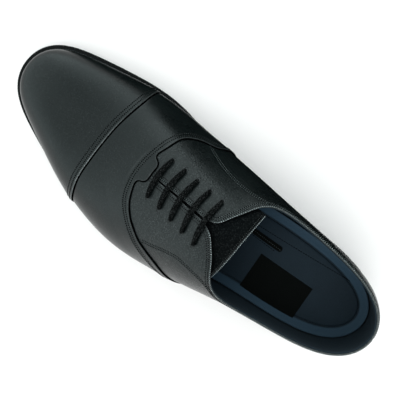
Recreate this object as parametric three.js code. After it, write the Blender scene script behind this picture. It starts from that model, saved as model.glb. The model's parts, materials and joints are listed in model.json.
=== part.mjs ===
// Left dress shoe of the closed-lacing kind with a straight toe cap, empty and standing on a floor.
// Millimetres. +X points to the toe, +Y to the little-toe side, +Z up. The floor is z = 0.
import * as THREE from 'three';
import { mergeVertices } from 'three/addons/utils/BufferGeometryUtils.js';

// Driving sizes
const LENGTH = 300;
const BALL_WIDTH = 105;
const HEEL_WIDTH = 69;
const HEEL_HEIGHT = 25;
const INSTEP_RISE = 75;
const TOE_SPRING = 11;
const WALL = 2.0;
const OVERLAP_STEP = 0.8;
const OUTSOLE_THICK = 5;
const WELT_THICK = 3;
const INSOLE_ABOVE_FEATHER = 2.4;
const TOP_PIECE_THICK = 6;
const TONGUE_THICK = 1.6;
const LACE_DIAMETER = 3.0;
const GAP = 0.3;

const FEATHER_HEIGHT = OUTSOLE_THICK + GAP + WELT_THICK + GAP;

// Shares of the length where the plan and the bottom change
const SEAT_WELT_SPLIT = 0.235;
const WIDENING_START = 0.2;
const WIDENING_RUN = 0.4;
const ARCH_START = 0.17;
const ARCH_RUN = 0.48;
const SPRING_START = 0.72;
const SPRING_POWER = 2.4;

// Number of grid steps
const HALF_STATIONS = 28;
const CAP_COLUMNS = 9;
const VAMP_COLUMNS = 6;
const FACING_COLUMNS = 7;
const QUARTER_COLUMNS = 18;
const QUARTER_CROWDING = 1.7;
const WELT_STATIONS = 44;
const HEEL_STATIONS = 20;
const BREAST_STATIONS = 5;
const SLAB_RINGS = [0, 0.35, 0.7, 1];

// A table with named columns: one object for each row
function table(names, rows) {
  return rows.map((row) => Object.fromEntries(names.map((name, i) => [name, row[i]])));
}

// Plan of the sole edge: half widths beside the axis, as shares of the local width
const PLAN = table(['at', 'outer', 'inner'], [
  [0.02, 0.243, 0.230],
  [0.06, 0.385, 0.360],
  [0.12, 0.473, 0.442],
  [0.20, 0.513, 0.486],
  [0.30, 0.516, 0.472],
  [0.40, 0.489, 0.397],
  [0.50, 0.494, 0.388],
  [0.58, 0.515, 0.446],
  [0.65, 0.508, 0.489],
  [0.72, 0.463, 0.496],
  [0.79, 0.387, 0.478],
  [0.86, 0.288, 0.450],
  [0.92, 0.192, 0.414],
  [0.965, 0.096, 0.349],
  [0.988, 0.010, 0.270],
]);
const TOE_TIP_SIDE = -0.129;

// Sections of the last, from heel to toe. feather (inset of the upper from the sole edge), bulges
// and ridge are shares of the ball width, high (height of the widest point) and rise are shares of
// the instep rise, and full is the exponent of the arch on each side.
const SECTIONS = table(
  ['at', 'feather', 'bulgeOuter', 'bulgeInner', 'high', 'ridge', 'rise', 'fullOuter', 'fullInner'],
  [
    [0.0, 0.014, 0.019, 0.019, 0.29, 0, 0.987, 2.6, 2.6],
    [0.1, 0.014, 0.019, 0.019, 0.29, 0, 0.987, 2.3, 2.3],
    [0.2, 0.014, 0.024, 0.029, 0.29, 0, 0.973, 2.2, 2.2],
    [0.3, 0.019, 0.038, 0.062, 0.30, -0.005, 0.995, 2.3, 2.5],
    [0.4, 0.029, 0.062, 0.105, 0.31, -0.019, 1.01, 2.2, 2.3],
    [0.5, 0.038, 0.062, 0.100, 0.30, -0.038, 0.933, 2.0, 2.1],
    [0.6, 0.043, 0.043, 0.052, 0.25, -0.048, 0.791, 2.0, 2.1],
    [0.7, 0.048, 0.030, 0.030, 0.20, -0.057, 0.620, 2.0, 2.2],
    [0.8, 0.049, 0.025, 0.020, 0.16, -0.071, 0.508, 2.1, 2.3],
    [0.9, 0.051, 0.019, 0.014, 0.13, -0.100, 0.393, 2.2, 2.3],
    [1.0, 0.054, 0.012, 0.012, 0.12, -0.129, 0.200, 2.3, 2.3],
  ],
);

// Seams across the upper: share of the length on each side, by climb from welt (0) to ridge (1)
const CAP_SEAM = table(['climb', 'outer', 'inner'], [
  [0, 0.718, 0.690],
  [0.25, 0.724, 0.696],
  [0.5, 0.7316, 0.7025],
  [0.65, 0.736, 0.708],
  [0.8, 0.734, 0.7165],
  [0.93, 0.7295, 0.724],
  [1, 0.7265, 0.7265],
]);
const VAMP_SEAM = table(['climb', 'outer', 'inner'], [
  [0, 0.372, 0.440],
  [0.2, 0.396, 0.474],
  [0.33, 0.424, 0.497],
  [0.45, 0.4556, 0.517],
  [0.56, 0.4965, 0.562],
  [0.64, 0.5435, 0.5834],
  [0.72, 0.577, 0.593],
  [0.8, 0.6005, 0.602],
  [0.87, 0.6115, 0.608],
  [0.92, 0.612, 0.599],
  [0.96, 0.598, 0.595],
  [1, 0.596, 0.596],
]);
const THROAT_LINE = table(['climb', 'outer', 'inner'], [
  [0, 0.30, 0.40],
  [0.5, 0.40, 0.42],
  [1, 0.429, 0.429],
]);

// Top edge behind the throat: the climb at which the wall ends, by share of the length
const TOP_EDGE = table(['at', 'outer', 'inner'], [
  [0, 0.52, 0.52],
  [0.03, 0.505, 0.495],
  [0.07, 0.475, 0.465],
  [0.14, 0.44, 0.435],
  [0.21, 0.425, 0.425],
  [0.29, 0.455, 0.46],
  [0.335, 0.56, 0.545],
  [0.364, 0.71, 0.675],
  [0.386, 0.86, 0.81],
  [0.409, 0.955, 0.925],
  [0.429, 1, 1],
]);
const SLIT_START = 0.596;
const SLIT_HALF_FRONT = 0.5;
const SLIT_HALF_REAR = 1.5;
const SLIT_TAPER = 12;
const FAN_TOE = 0.13;
const FAN_HEEL = 0.10;
const FAN_REST = 0.02;
const LOWER_ARC = 0.25;
const CLIMBS = [0, 0.07, 0.15, 0.24, 0.33, 0.42, 0.51, 0.6, 0.69, 0.77, 0.85, 0.91, 0.96, 1];
const OVERLAP_FADE = 4;

// Small maths
const clamp = (value, low, high) => Math.min(high, Math.max(low, value));
const mix = (a, b, share) => a + (b - a) * share;
const smoother = (u) => u * u * u * (10 - 15 * u + 6 * u * u);

// Natural cubic curve through the points of two columns
function cubic(xs, ys) {
  const count = xs.length;
  const second = new Array(count).fill(0);
  const work = new Array(count).fill(0);
  for (let i = 1; i < count - 1; i += 1) {
    const ratio = (xs[i] - xs[i - 1]) / (xs[i + 1] - xs[i - 1]);
    const pivot = ratio * second[i - 1] + 2;
    const rightSlope = (ys[i + 1] - ys[i]) / (xs[i + 1] - xs[i]);
    const leftSlope = (ys[i] - ys[i - 1]) / (xs[i] - xs[i - 1]);
    second[i] = (ratio - 1) / pivot;
    work[i] = (6 * (rightSlope - leftSlope) / (xs[i + 1] - xs[i - 1]) - ratio * work[i - 1]) / pivot;
  }
  for (let i = count - 2; i >= 0; i -= 1) second[i] = second[i] * second[i + 1] + work[i];
  return (x) => {
    let k = 0;
    while (k < count - 2 && x > xs[k + 1]) k += 1;
    const step = xs[k + 1] - xs[k];
    const a = (xs[k + 1] - x) / step;
    const b = 1 - a;
    const bend = ((a * a * a - a) * second[k] + (b * b * b - b) * second[k + 1]) * step * step / 6;
    return a * ys[k] + b * ys[k + 1] + bend;
  };
}

function column(rows, key, name) {
  return cubic(rows.map((row) => row[key]), rows.map((row) => row[name]));
}

// The last
const turnOf = (at) => Math.acos(1 - 2 * at);
const shareOf = (turn) => (1 - Math.cos(turn)) / 2;

function localWidth(at) {
  return mix(HEEL_WIDTH, BALL_WIDTH, smoother(clamp((at - WIDENING_START) / WIDENING_RUN, 0, 1)));
}

function planCurve() {
  const turns = [0];
  const sides = [0];
  for (const row of PLAN) {
    turns.push(turnOf(row.at));
    sides.push(row.outer * localWidth(row.at));
  }
  turns.push(Math.PI);
  sides.push(TOE_TIP_SIDE * BALL_WIDTH);
  for (const row of [...PLAN].reverse()) {
    turns.push(2 * Math.PI - turnOf(row.at));
    sides.push(-row.inner * localWidth(row.at));
  }
  const wrap = 8;
  const count = turns.length;
  const before = turns.slice(-wrap).map((turn) => turn - 2 * Math.PI);
  const after = turns.slice(0, wrap).map((turn) => turn + 2 * Math.PI);
  return cubic(
    [...before, ...turns, ...after],
    [...sides.slice(count - wrap), ...sides, ...sides.slice(0, wrap)],
  );
}

const planSide = planCurve();
const sectionCurves = Object.fromEntries(
  ['feather', 'bulgeOuter', 'bulgeInner', 'high', 'ridge', 'rise', 'fullOuter', 'fullInner']
    .map((name) => [name, column(SECTIONS, 'at', name)]),
);

// Underside of the outsole: heel seat, arch, flat tread, toe spring
function soleBottom(x) {
  const at = x / LENGTH;
  const arch = clamp((at - ARCH_START) / ARCH_RUN, 0, 1);
  const lift = Math.max(0, (at - SPRING_START) / (1 - SPRING_START));
  return HEEL_HEIGHT * (1 - smoother(arch)) + TOE_SPRING * Math.pow(lift, SPRING_POWER);
}

// Point of the plan, moved inwards square to the edge
function planPoint(turn, inset) {
  const tiny = 1e-3;
  const x = LENGTH * shareOf(turn);
  const y = planSide(turn);
  const dx = LENGTH * (shareOf(turn + tiny) - shareOf(turn - tiny));
  const dy = planSide(turn + tiny) - planSide(turn - tiny);
  const size = Math.hypot(dx, dy);
  const out = new THREE.Vector2(-dy / size, dx / size);
  return { x: x - out.x * inset, y: y - out.y * inset, out };
}

// Stations fan out round a pole near each end of the ridge. fromEnd is measured from that end.
function fanned(fromEnd, pole) {
  const start = 2 * pole - FAN_REST;
  if (fromEnd >= start) return fromEnd;
  const width = start - FAN_REST;
  const u = Math.min(1, (start - fromEnd) / width);
  return start - width * (u - u * u / 2);
}

function spineShare(at) {
  return at < 0.5 ? fanned(at, FAN_HEEL) : 1 - fanned(1 - at, FAN_TOE);
}

function spinePoint(turn) {
  const at = spineShare(shareOf(turn));
  return { x: at * LENGTH, y: sectionCurves.ridge(at) * BALL_WIDTH };
}

function roofHeight(x) {
  return soleBottom(x) + FEATHER_HEIGHT + sectionCurves.rise(x / LENGTH) * INSTEP_RISE;
}

const isOuter = (turn) => turn < Math.PI;

function featherInset(turn) {
  return sectionCurves.feather(shareOf(turn)) * BALL_WIDTH;
}

// Widest point of a section, where the lower arc meets the arch
function sectionFrame(turn, grow) {
  const at = shareOf(turn);
  const base = planPoint(turn, featherInset(turn) - grow);
  const bulgeName = isOuter(turn) ? 'bulgeOuter' : 'bulgeInner';
  const fullName = isOuter(turn) ? 'fullOuter' : 'fullInner';
  const bulge = sectionCurves[bulgeName](at) * BALL_WIDTH;
  const wide = { x: base.x + base.out.x * bulge, y: base.y + base.out.y * bulge };
  const baseHeight = soleBottom(base.x) + FEATHER_HEIGHT;
  const high = sectionCurves.high(at) * INSTEP_RISE;
  return { base, wide, baseHeight, high, full: sectionCurves[fullName](at), spine: spinePoint(turn) };
}

// Outer face of the upper: turn round the plan, climb from the welt to the ridge, grow outwards
function upperPoint(turn, climb, grow) {
  const frame = sectionFrame(turn, grow);
  if (climb < LOWER_ARC) {
    const share = climb / LOWER_ARC;
    const out = Math.sin(share * Math.PI / 2);
    return new THREE.Vector3(
      mix(frame.base.x, frame.wide.x, out),
      mix(frame.base.y, frame.wide.y, out),
      frame.baseHeight + frame.high * share,
    );
  }
  const angle = (climb - LOWER_ARC) / (1 - LOWER_ARC) * Math.PI / 2;
  const across = Math.pow(Math.max(0, Math.cos(angle)), 2 / frame.full);
  const up = Math.pow(Math.sin(angle), 2 / frame.full);
  const ridge = climb >= 1;
  const x = ridge ? frame.spine.x : mix(frame.spine.x, frame.wide.x, across);
  const y = ridge ? frame.spine.y : mix(frame.spine.y, frame.wide.y, across);
  const start = frame.baseHeight + frame.high;
  return new THREE.Vector3(x, y, mix(start, roofHeight(x) + grow, ridge ? 1 : up));
}

// Climb at which a point lies a given distance beside the ridge
function climbBeside(turn, distance) {
  const frame = sectionFrame(turn, 0);
  const reach = Math.hypot(frame.wide.x - frame.spine.x, frame.wide.y - frame.spine.y);
  const angle = Math.acos(Math.pow(clamp(distance / reach, 0, 1), frame.full / 2));
  return LOWER_ARC + (1 - LOWER_ARC) * angle / (Math.PI / 2);
}

const topEdge = { outer: column(TOP_EDGE, 'at', 'outer'), inner: column(TOP_EDGE, 'at', 'inner') };
const throatShare = TOP_EDGE[TOP_EDGE.length - 1].at;

function highestClimb(turn) {
  const at = shareOf(turn);
  if (at >= SLIT_START) return 1;
  const opening = Math.min(1, (SLIT_START - at) / (SLIT_START - throatShare));
  const half = mix(SLIT_HALF_FRONT, SLIT_HALF_REAR, opening) * Math.min(1, opening * SLIT_TAPER);
  const slit = climbBeside(turn, half);
  if (at >= throatShare) return slit;
  const edge = isOuter(turn) ? topEdge.outer(at) : topEdge.inner(at);
  return Math.min(slit, edge);
}

// Mesh building
class Skin {
  constructor() {
    this.points = [];
  }

  triangle(a, b, c) {
    this.points.push(a, b, c);
  }

  quad(a, b, c, d) {
    this.triangle(a, b, c);
    this.triangle(a, c, d);
  }

  // Rows of points, each row as long as the first, seen from outside with rows going up
  sheet(rows, flip) {
    for (let j = 0; j + 1 < rows.length; j += 1) {
      for (let i = 0; i + 1 < rows[j].length; i += 1) {
        const [a, b, c, d] = [rows[j][i], rows[j][i + 1], rows[j + 1][i + 1], rows[j + 1][i]];
        if (flip) this.quad(d, c, b, a);
        else this.quad(a, b, c, d);
      }
    }
  }

  geometry() {
    const soup = new THREE.BufferGeometry();
    const flat = this.points.flatMap((point) => [point.x, point.y, point.z]);
    soup.setAttribute('position', new THREE.Float32BufferAttribute(flat, 3));
    const merged = mergeVertices(soup, 1e-3);
    const index = merged.getIndex().array;
    const kept = [];
    for (let i = 0; i < index.length; i += 3) {
      const [a, b, c] = [index[i], index[i + 1], index[i + 2]];
      if (a !== b && b !== c && c !== a) kept.push(a, b, c);
    }
    merged.setIndex(kept);
    merged.computeVertexNormals();
    return merged;
  }
}

function range(count) {
  return Array.from({ length: count }, (unused, i) => i);
}

// Turns of the stations all round, denser where the plan is round
function turnsBetween(first, last, count) {
  return range(count + 1).map((i) => mix(first, last, i / count));
}

function planRing(turns, insetOf, heightOf) {
  return turns.map((turn) => {
    const point = planPoint(turn, insetOf(turn));
    return new THREE.Vector3(point.x, point.y, heightOf(point.x));
  });
}

// A slab over the whole plan: side profile of inset and height above the sole bottom
function slab(profile, extraInset) {
  const turns = turnsBetween(0, 2 * Math.PI, 2 * HALF_STATIONS);
  const skin = new Skin();
  const side = profile.map((step) => planRing(
    turns,
    (turn) => step.inset + extraInset(turn),
    (x) => soleBottom(x) + step.height,
  ));
  const face = (step) => SLAB_RINGS.map((share) => turns.map((turn) => {
    const edge = planPoint(turn, step.inset + extraInset(turn));
    const spine = spinePoint(turn);
    const x = mix(edge.x, spine.x, share);
    return new THREE.Vector3(x, mix(edge.y, spine.y, share), soleBottom(x) + step.height);
  }));
  skin.sheet(side, true);
  skin.sheet(face(profile[profile.length - 1]), true);
  skin.sheet(face(profile[0]), false);
  return skin.geometry();
}

// A strip along part of the plan with a closed profile of inset and height
function strip(turns, profileOf) {
  const skin = new Skin();
  const rings = turns.map((turn) => profileOf(turn).map((step) => {
    const point = planPoint(turn, step.inset);
    return new THREE.Vector3(point.x, point.y, soleBottom(point.x) + step.height);
  }));
  const closed = rings.map((ring) => [...ring, ring[0]]);
  skin.sheet(closed, false);
  const cap = (ring, flip) => {
    for (let i = 1; i + 1 < ring.length; i += 1) {
      if (flip) skin.triangle(ring[0], ring[i + 1], ring[i]);
      else skin.triangle(ring[0], ring[i], ring[i + 1]);
    }
  };
  cap(rings[0], true);
  cap(rings[rings.length - 1], false);
  return skin.geometry();
}

// Pieces of the bottom
const EDGE_ROUND = 0.8;
const WELT_ROUND = 0.6;

function outsole() {
  const profile = [
    { inset: EDGE_ROUND, height: 0 },
    { inset: 0, height: EDGE_ROUND },
    { inset: 0, height: OUTSOLE_THICK - EDGE_ROUND / 2 },
    { inset: EDGE_ROUND / 2, height: OUTSOLE_THICK },
  ];
  return slab(profile, () => 0);
}

function insole() {
  const profile = [
    { inset: 0, height: OUTSOLE_THICK + GAP },
    { inset: 0, height: FEATHER_HEIGHT + INSOLE_ABOVE_FEATHER },
  ];
  return slab(profile, (turn) => featherInset(turn) + WALL + GAP);
}

function weltProfile(turn) {
  const low = OUTSOLE_THICK + GAP;
  const top = low + WELT_THICK;
  const inner = featherInset(turn) + WALL;
  return [
    { inset: WELT_ROUND / 2, height: low },
    { inset: 0, height: low + WELT_ROUND },
    { inset: 0, height: top - WELT_ROUND },
    { inset: WELT_ROUND, height: top },
    { inset: inner, height: top },
    { inset: inner, height: low },
  ];
}

const splitTurn = turnOf(SEAT_WELT_SPLIT);
const splitGapTurn = GAP / (LENGTH * Math.sin(splitTurn));

function welt() {
  const start = splitTurn + splitGapTurn;
  return strip(turnsBetween(start, 2 * Math.PI - start, WELT_STATIONS), weltProfile);
}

function heelRand() {
  const end = splitTurn - splitGapTurn;
  return strip(turnsBetween(-end, end, HEEL_STATIONS), weltProfile);
}

// Heel block and top piece: rings that follow the heel and close along a hollowed breast
const BREAST_HOLLOW = 3;
const HEEL_INSET_TOP = 1.0;
const HEEL_INSET_FLOOR = 2.6;
const heelTurns = turnsBetween(-splitTurn, splitTurn, HEEL_STATIONS);

function heelRing(inset, heightOf) {
  const arc = heelTurns.map((turn) => planPoint(turn, inset));
  const first = arc[0];
  const last = arc[arc.length - 1];
  const breast = range(BREAST_STATIONS).slice(1).map((i) => {
    const share = i / BREAST_STATIONS;
    const hollow = BREAST_HOLLOW * 4 * share * (1 - share);
    return { x: mix(last.x, first.x, share) - hollow, y: mix(last.y, first.y, share) };
  });
  return [...arc, ...breast].map((point) => new THREE.Vector3(point.x, point.y, heightOf(point.x)));
}

function stack(rings) {
  const skin = new Skin();
  skin.sheet(rings.map((ring) => [...ring, ring[0]]), true);
  const fill = (ring, flip) => {
    const middle = ring.reduce((sum, point) => sum.add(point), new THREE.Vector3());
    middle.divideScalar(ring.length);
    ring.forEach((point, i) => {
      const next = ring[(i + 1) % ring.length];
      if (flip) skin.triangle(middle, next, point);
      else skin.triangle(middle, point, next);
    });
  };
  fill(rings[0], false);
  fill(rings[rings.length - 1], true);
  return skin.geometry();
}

function heelInset(height) {
  return mix(HEEL_INSET_FLOOR, HEEL_INSET_TOP, height / HEEL_HEIGHT);
}

function heelBlock() {
  const low = TOP_PIECE_THICK + GAP;
  const middle = mix(low, HEEL_HEIGHT, 0.5);
  return stack([
    heelRing(heelInset(low), () => low),
    heelRing(heelInset(middle), () => middle),
    heelRing(heelInset(HEEL_HEIGHT), (x) => soleBottom(x) - GAP),
  ]);
}

function topPiece() {
  return stack([
    heelRing(heelInset(0) + EDGE_ROUND, () => 0),
    heelRing(heelInset(0), () => EDGE_ROUND),
    heelRing(heelInset(TOP_PIECE_THICK), () => TOP_PIECE_THICK),
  ]);
}

// Columns of the upper on one side, each a function from climb to turn with its outward step
function seamCurve(rows, side) {
  const at = column(rows, 'climb', side);
  return (climb) => turnOf(at(climb));
}

function upperColumns(side) {
  const cap = seamCurve(CAP_SEAM, side);
  const vamp = seamCurve(VAMP_SEAM, side);
  const throat = seamCurve(THROAT_LINE, side);
  const toe = () => Math.PI;
  const heel = () => 0;
  const columns = [];
  const add = (from, to, count, growOf, crowding = 1) => {
    for (const i of range(count + 1)) {
      const turn = (climb) => mix(from(climb), to(climb), Math.pow(i / count, crowding));
      columns.push({ turn, grow: growOf(count - i) });
    }
  };
  const overlap = (left) => OVERLAP_STEP * Math.pow(Math.max(0, 1 - left / OVERLAP_FADE), 1.5);
  add(toe, cap, CAP_COLUMNS, overlap);
  add(cap, vamp, VAMP_COLUMNS, overlap);
  add(vamp, throat, FACING_COLUMNS, () => 0);
  add(throat, heel, QUARTER_COLUMNS, () => 0, QUARTER_CROWDING);
  return columns.filter((entry, i) => i !== columns.length - QUARTER_COLUMNS - 1);
}

const SLIT_COLUMN = CAP_COLUMNS + 1 + VAMP_COLUMNS + 1;

function upperGrid(side, layer) {
  const columns = upperColumns(side);
  return CLIMBS.map((climb) => columns.map((entry) => {
    const oneSide = entry.turn(climb);
    const turn = side === 'outer' ? oneSide : 2 * Math.PI - oneSide;
    const lift = climb * highestClimb(turn);
    const grow = layer === 'outside' ? entry.grow : -WALL;
    return upperPoint(turn, lift, grow);
  }));
}

function upper() {
  const skin = new Skin();
  for (const side of ['outer', 'inner']) {
    const flip = side === 'inner';
    const outside = upperGrid(side, 'outside');
    const inside = upperGrid(side, 'inside');
    const open = (row) => row.slice(SLIT_COLUMN);
    const last = CLIMBS.length - 1;
    skin.sheet(outside, flip);
    skin.sheet(inside, !flip);
    skin.sheet([outside[0], inside[0]], !flip);
    skin.sheet([open(outside[last]), open(inside[last])], flip);
  }
  return skin.geometry();
}

// Tongue: a sheet under the facings, from below the vamp to its straight top edge
const TONGUE_FRONT = 0.57;
const TONGUE_TOP = 0.352;
const TONGUE_LOWEST_CLIMB = 0.74;
const TONGUE_CLEARANCE = 0.9;
const TONGUE_STEPS_LONG = 12;
const TONGUE_STEPS_WIDE = 8;

function tongueFace(depth) {
  const rows = [];
  for (const j of range(TONGUE_STEPS_LONG + 1)) {
    const turn = turnOf(mix(TONGUE_FRONT, TONGUE_TOP, j / TONGUE_STEPS_LONG));
    const climbs = turnsBetween(TONGUE_LOWEST_CLIMB, 1, TONGUE_STEPS_WIDE);
    const outer = climbs.map((climb) => upperPoint(turn, climb, -depth));
    const inner = climbs.map((climb) => upperPoint(2 * Math.PI - turn, climb, -depth)).reverse();
    rows.push([...outer, ...inner.slice(1)]);
  }
  return rows;
}

function tongue() {
  const top = tongueFace(WALL + TONGUE_CLEARANCE);
  const under = tongueFace(WALL + TONGUE_CLEARANCE + TONGUE_THICK);
  const skin = new Skin();
  skin.sheet(top, true);
  skin.sheet(under, false);
  skin.sheet([top[0], under[0]], false);
  skin.sheet([top[top.length - 1], under[under.length - 1]], true);
  skin.sheet([top.map((row) => row[0]), under.map((row) => row[0])], true);
  const end = top[0].length - 1;
  skin.sheet([top.map((row) => row[end]), under.map((row) => row[end])], false);
  return skin.geometry();
}

// Laces: straight bars over the facings
const LACE_BARS = 5;
const BAR_FIRST = 0.573;
const BAR_LAST = 0.4345;
const BAR_INNER_REACH = 17.5;
const BAR_OUTER_REACH_FIRST = 14;
const BAR_OUTER_REACH_LAST = 18;
const BAR_SIDES = 8;
const BAR_STEPS = 12;

function laceBar(number) {
  const share = number / (LACE_BARS - 1);
  const turn = turnOf(mix(BAR_FIRST, BAR_LAST, share));
  const outerReach = mix(BAR_OUTER_REACH_FIRST, BAR_OUTER_REACH_LAST, share);
  const lift = LACE_DIAMETER / 2 + GAP;
  const path = [];
  for (const i of range(BAR_STEPS + 1)) {
    const beside = mix(-BAR_INNER_REACH, outerReach, i / BAR_STEPS);
    const onSide = beside < 0 ? 2 * Math.PI - turn : turn;
    path.push(upperPoint(onSide, climbBeside(onSide, Math.abs(beside)), lift));
  }
  const circle = new THREE.Shape();
  circle.absarc(0, 0, LACE_DIAMETER / 2, 0, 2 * Math.PI);
  return new THREE.ExtrudeGeometry(circle, {
    extrudePath: new THREE.CatmullRomCurve3(path),
    steps: BAR_STEPS,
    curveSegments: BAR_SIDES / 2,
    bevelEnabled: false,
  });
}

// Materials
function finish(color, roughness) {
  return new THREE.MeshStandardMaterial({ color, roughness, metalness: 0 });
}

const leather = () => finish(0x1b1e1e, 0.42);
const soleLeather = () => finish(0x101112, 0.5);
const rubber = () => finish(0x141414, 0.8);
const lining = () => finish(0x2b3f50, 0.75);
const cord = () => finish(0x0d0e0f, 0.9);

const shoe = new THREE.Group();

function place(name, geometry, material) {
  const mesh = new THREE.Mesh(geometry, material);
  mesh.name = name;
  shoe.add(mesh);
}

place('outsole', outsole(), soleLeather());
place('welt', welt(), soleLeather());
place('heel_rand', heelRand(), soleLeather());
place('heel_block', heelBlock(), soleLeather());
place('top_piece', topPiece(), rubber());
place('insole', insole(), lining());
place('upper', upper(), leather());
place('tongue', tongue(), leather());
for (const number of range(LACE_BARS)) {
  place(`lace_bar_${number + 1}`, laceBar(number), cord());
}

// The origin is the middle of the shoe's footprint box, on the floor
const box = new THREE.Box3().setFromObject(shoe);
const centre = box.getCenter(new THREE.Vector3());
shoe.position.set(-centre.x, -centre.y, -box.min.z);

export default shoe;
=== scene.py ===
"""Left dress shoe with a straight toe cap and closed lacing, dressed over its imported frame."""
import json
import math
import random
from bisect import bisect_right

import bpy
from bpy.props import FloatProperty, FloatVectorProperty, PointerProperty
from mathutils import Matrix, Vector
from mathutils.kdtree import KDTree

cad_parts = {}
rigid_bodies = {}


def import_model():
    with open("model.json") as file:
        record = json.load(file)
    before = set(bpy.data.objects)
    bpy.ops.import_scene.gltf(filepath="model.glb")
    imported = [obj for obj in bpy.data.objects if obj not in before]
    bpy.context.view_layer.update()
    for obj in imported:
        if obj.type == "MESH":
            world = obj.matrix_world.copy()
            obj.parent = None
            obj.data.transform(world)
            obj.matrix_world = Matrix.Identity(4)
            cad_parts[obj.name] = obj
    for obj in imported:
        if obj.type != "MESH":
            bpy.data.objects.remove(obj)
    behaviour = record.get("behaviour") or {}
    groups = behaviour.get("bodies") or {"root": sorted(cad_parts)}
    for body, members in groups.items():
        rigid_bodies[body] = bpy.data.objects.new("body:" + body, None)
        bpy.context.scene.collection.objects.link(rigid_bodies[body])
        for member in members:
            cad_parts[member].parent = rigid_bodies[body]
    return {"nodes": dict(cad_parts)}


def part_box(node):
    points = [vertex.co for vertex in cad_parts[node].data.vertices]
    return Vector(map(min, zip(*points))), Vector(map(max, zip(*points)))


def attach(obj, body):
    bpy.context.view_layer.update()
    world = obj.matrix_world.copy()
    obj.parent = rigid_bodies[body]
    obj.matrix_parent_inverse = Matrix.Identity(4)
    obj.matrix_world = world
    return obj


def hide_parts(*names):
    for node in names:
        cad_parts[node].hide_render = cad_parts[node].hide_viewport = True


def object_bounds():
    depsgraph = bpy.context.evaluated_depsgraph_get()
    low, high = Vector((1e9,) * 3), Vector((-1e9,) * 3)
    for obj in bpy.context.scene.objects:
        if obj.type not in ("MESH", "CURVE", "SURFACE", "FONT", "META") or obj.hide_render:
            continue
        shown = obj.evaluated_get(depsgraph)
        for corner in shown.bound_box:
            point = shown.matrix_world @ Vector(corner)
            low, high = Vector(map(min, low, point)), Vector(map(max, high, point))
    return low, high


bl_info = {
    "name": "Cap-toe dress shoe",
    "version": (1, 0, 0),
    "blender": (4, 5, 0),
    "location": "View3D > Sidebar > Shoe",
    "description": "Builds a left dress shoe with a straight toe cap over its packed frame",
    "category": "Add Mesh",
}

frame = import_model()
CAD_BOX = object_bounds()
BODY = "root"
MM = 0.001
UPWARD = Vector((0, 0, 1))

# Driving sizes, the same as those of the solids, in metres
LENGTH = 0.300
BALL_WIDTH = 0.105
HEEL_WIDTH = 0.069
HEEL_HEIGHT = 0.025
INSTEP_RISE = 0.075
TOE_SPRING = 0.011
WALL = 0.002
OUTSOLE_THICK = 0.005
WELT_THICK = 0.003
INSOLE_ABOVE_FEATHER = 0.0024
TOP_PIECE_THICK = 0.006
TONGUE_THICK = 0.0016
GAP = 0.0003
FEATHER_HEIGHT = OUTSOLE_THICK + WELT_THICK + 2 * GAP

# The frame's origin is the middle of the footprint, and the tables start at the heel
ORIGIN = Vector((-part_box("outsole")[0][0], 0.0012148, 0))

SEAT_WELT_SPLIT = 0.235
WIDENING_START = 0.2
WIDENING_RUN = 0.4
ARCH_START = 0.17
ARCH_RUN = 0.48
SPRING_START = 0.72
SPRING_POWER = 2.4
TOE_TIP_SIDE = -0.129
FAN_TOE = 0.13
FAN_HEEL = 0.10
FAN_REST = 0.02
LOWER_ARC = 0.25

# Plan of the sole edge: share of the length, outer and inner half widths as shares of local width
PLAN = (
    (0.02, 0.243, 0.230),
    (0.06, 0.385, 0.360),
    (0.12, 0.473, 0.442),
    (0.20, 0.513, 0.486),
    (0.30, 0.516, 0.472),
    (0.40, 0.489, 0.397),
    (0.50, 0.494, 0.388),
    (0.58, 0.515, 0.446),
    (0.65, 0.508, 0.489),
    (0.72, 0.463, 0.496),
    (0.79, 0.387, 0.478),
    (0.86, 0.288, 0.450),
    (0.92, 0.192, 0.414),
    (0.965, 0.096, 0.349),
    (0.988, 0.010, 0.270),
)

# Sections of the last from heel to toe
SECTION_COLUMNS = (
    "feather", "bulge_outer", "bulge_inner", "high", "ridge", "rise", "full_outer", "full_inner",
)
SECTIONS = (
    (0.0, 0.014, 0.019, 0.019, 0.29, 0, 0.987, 2.6, 2.6),
    (0.1, 0.014, 0.019, 0.019, 0.29, 0, 0.987, 2.3, 2.3),
    (0.2, 0.014, 0.024, 0.029, 0.29, 0, 0.973, 2.2, 2.2),
    (0.3, 0.019, 0.038, 0.062, 0.30, -0.005, 0.995, 2.3, 2.5),
    (0.4, 0.029, 0.062, 0.105, 0.31, -0.019, 1.01, 2.2, 2.3),
    (0.5, 0.038, 0.062, 0.100, 0.30, -0.038, 0.933, 2.0, 2.1),
    (0.6, 0.043, 0.043, 0.052, 0.25, -0.048, 0.791, 2.0, 2.1),
    (0.7, 0.048, 0.030, 0.030, 0.20, -0.057, 0.620, 2.0, 2.2),
    (0.8, 0.049, 0.025, 0.025, 0.16, -0.071, 0.508, 2.1, 2.3),
    (0.9, 0.051, 0.014, 0.021, 0.13, -0.100, 0.393, 2.2, 2.3),
    (1.0, 0.054, 0.011, 0.012, 0.12, -0.129, 0.200, 2.3, 2.3),
)

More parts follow.
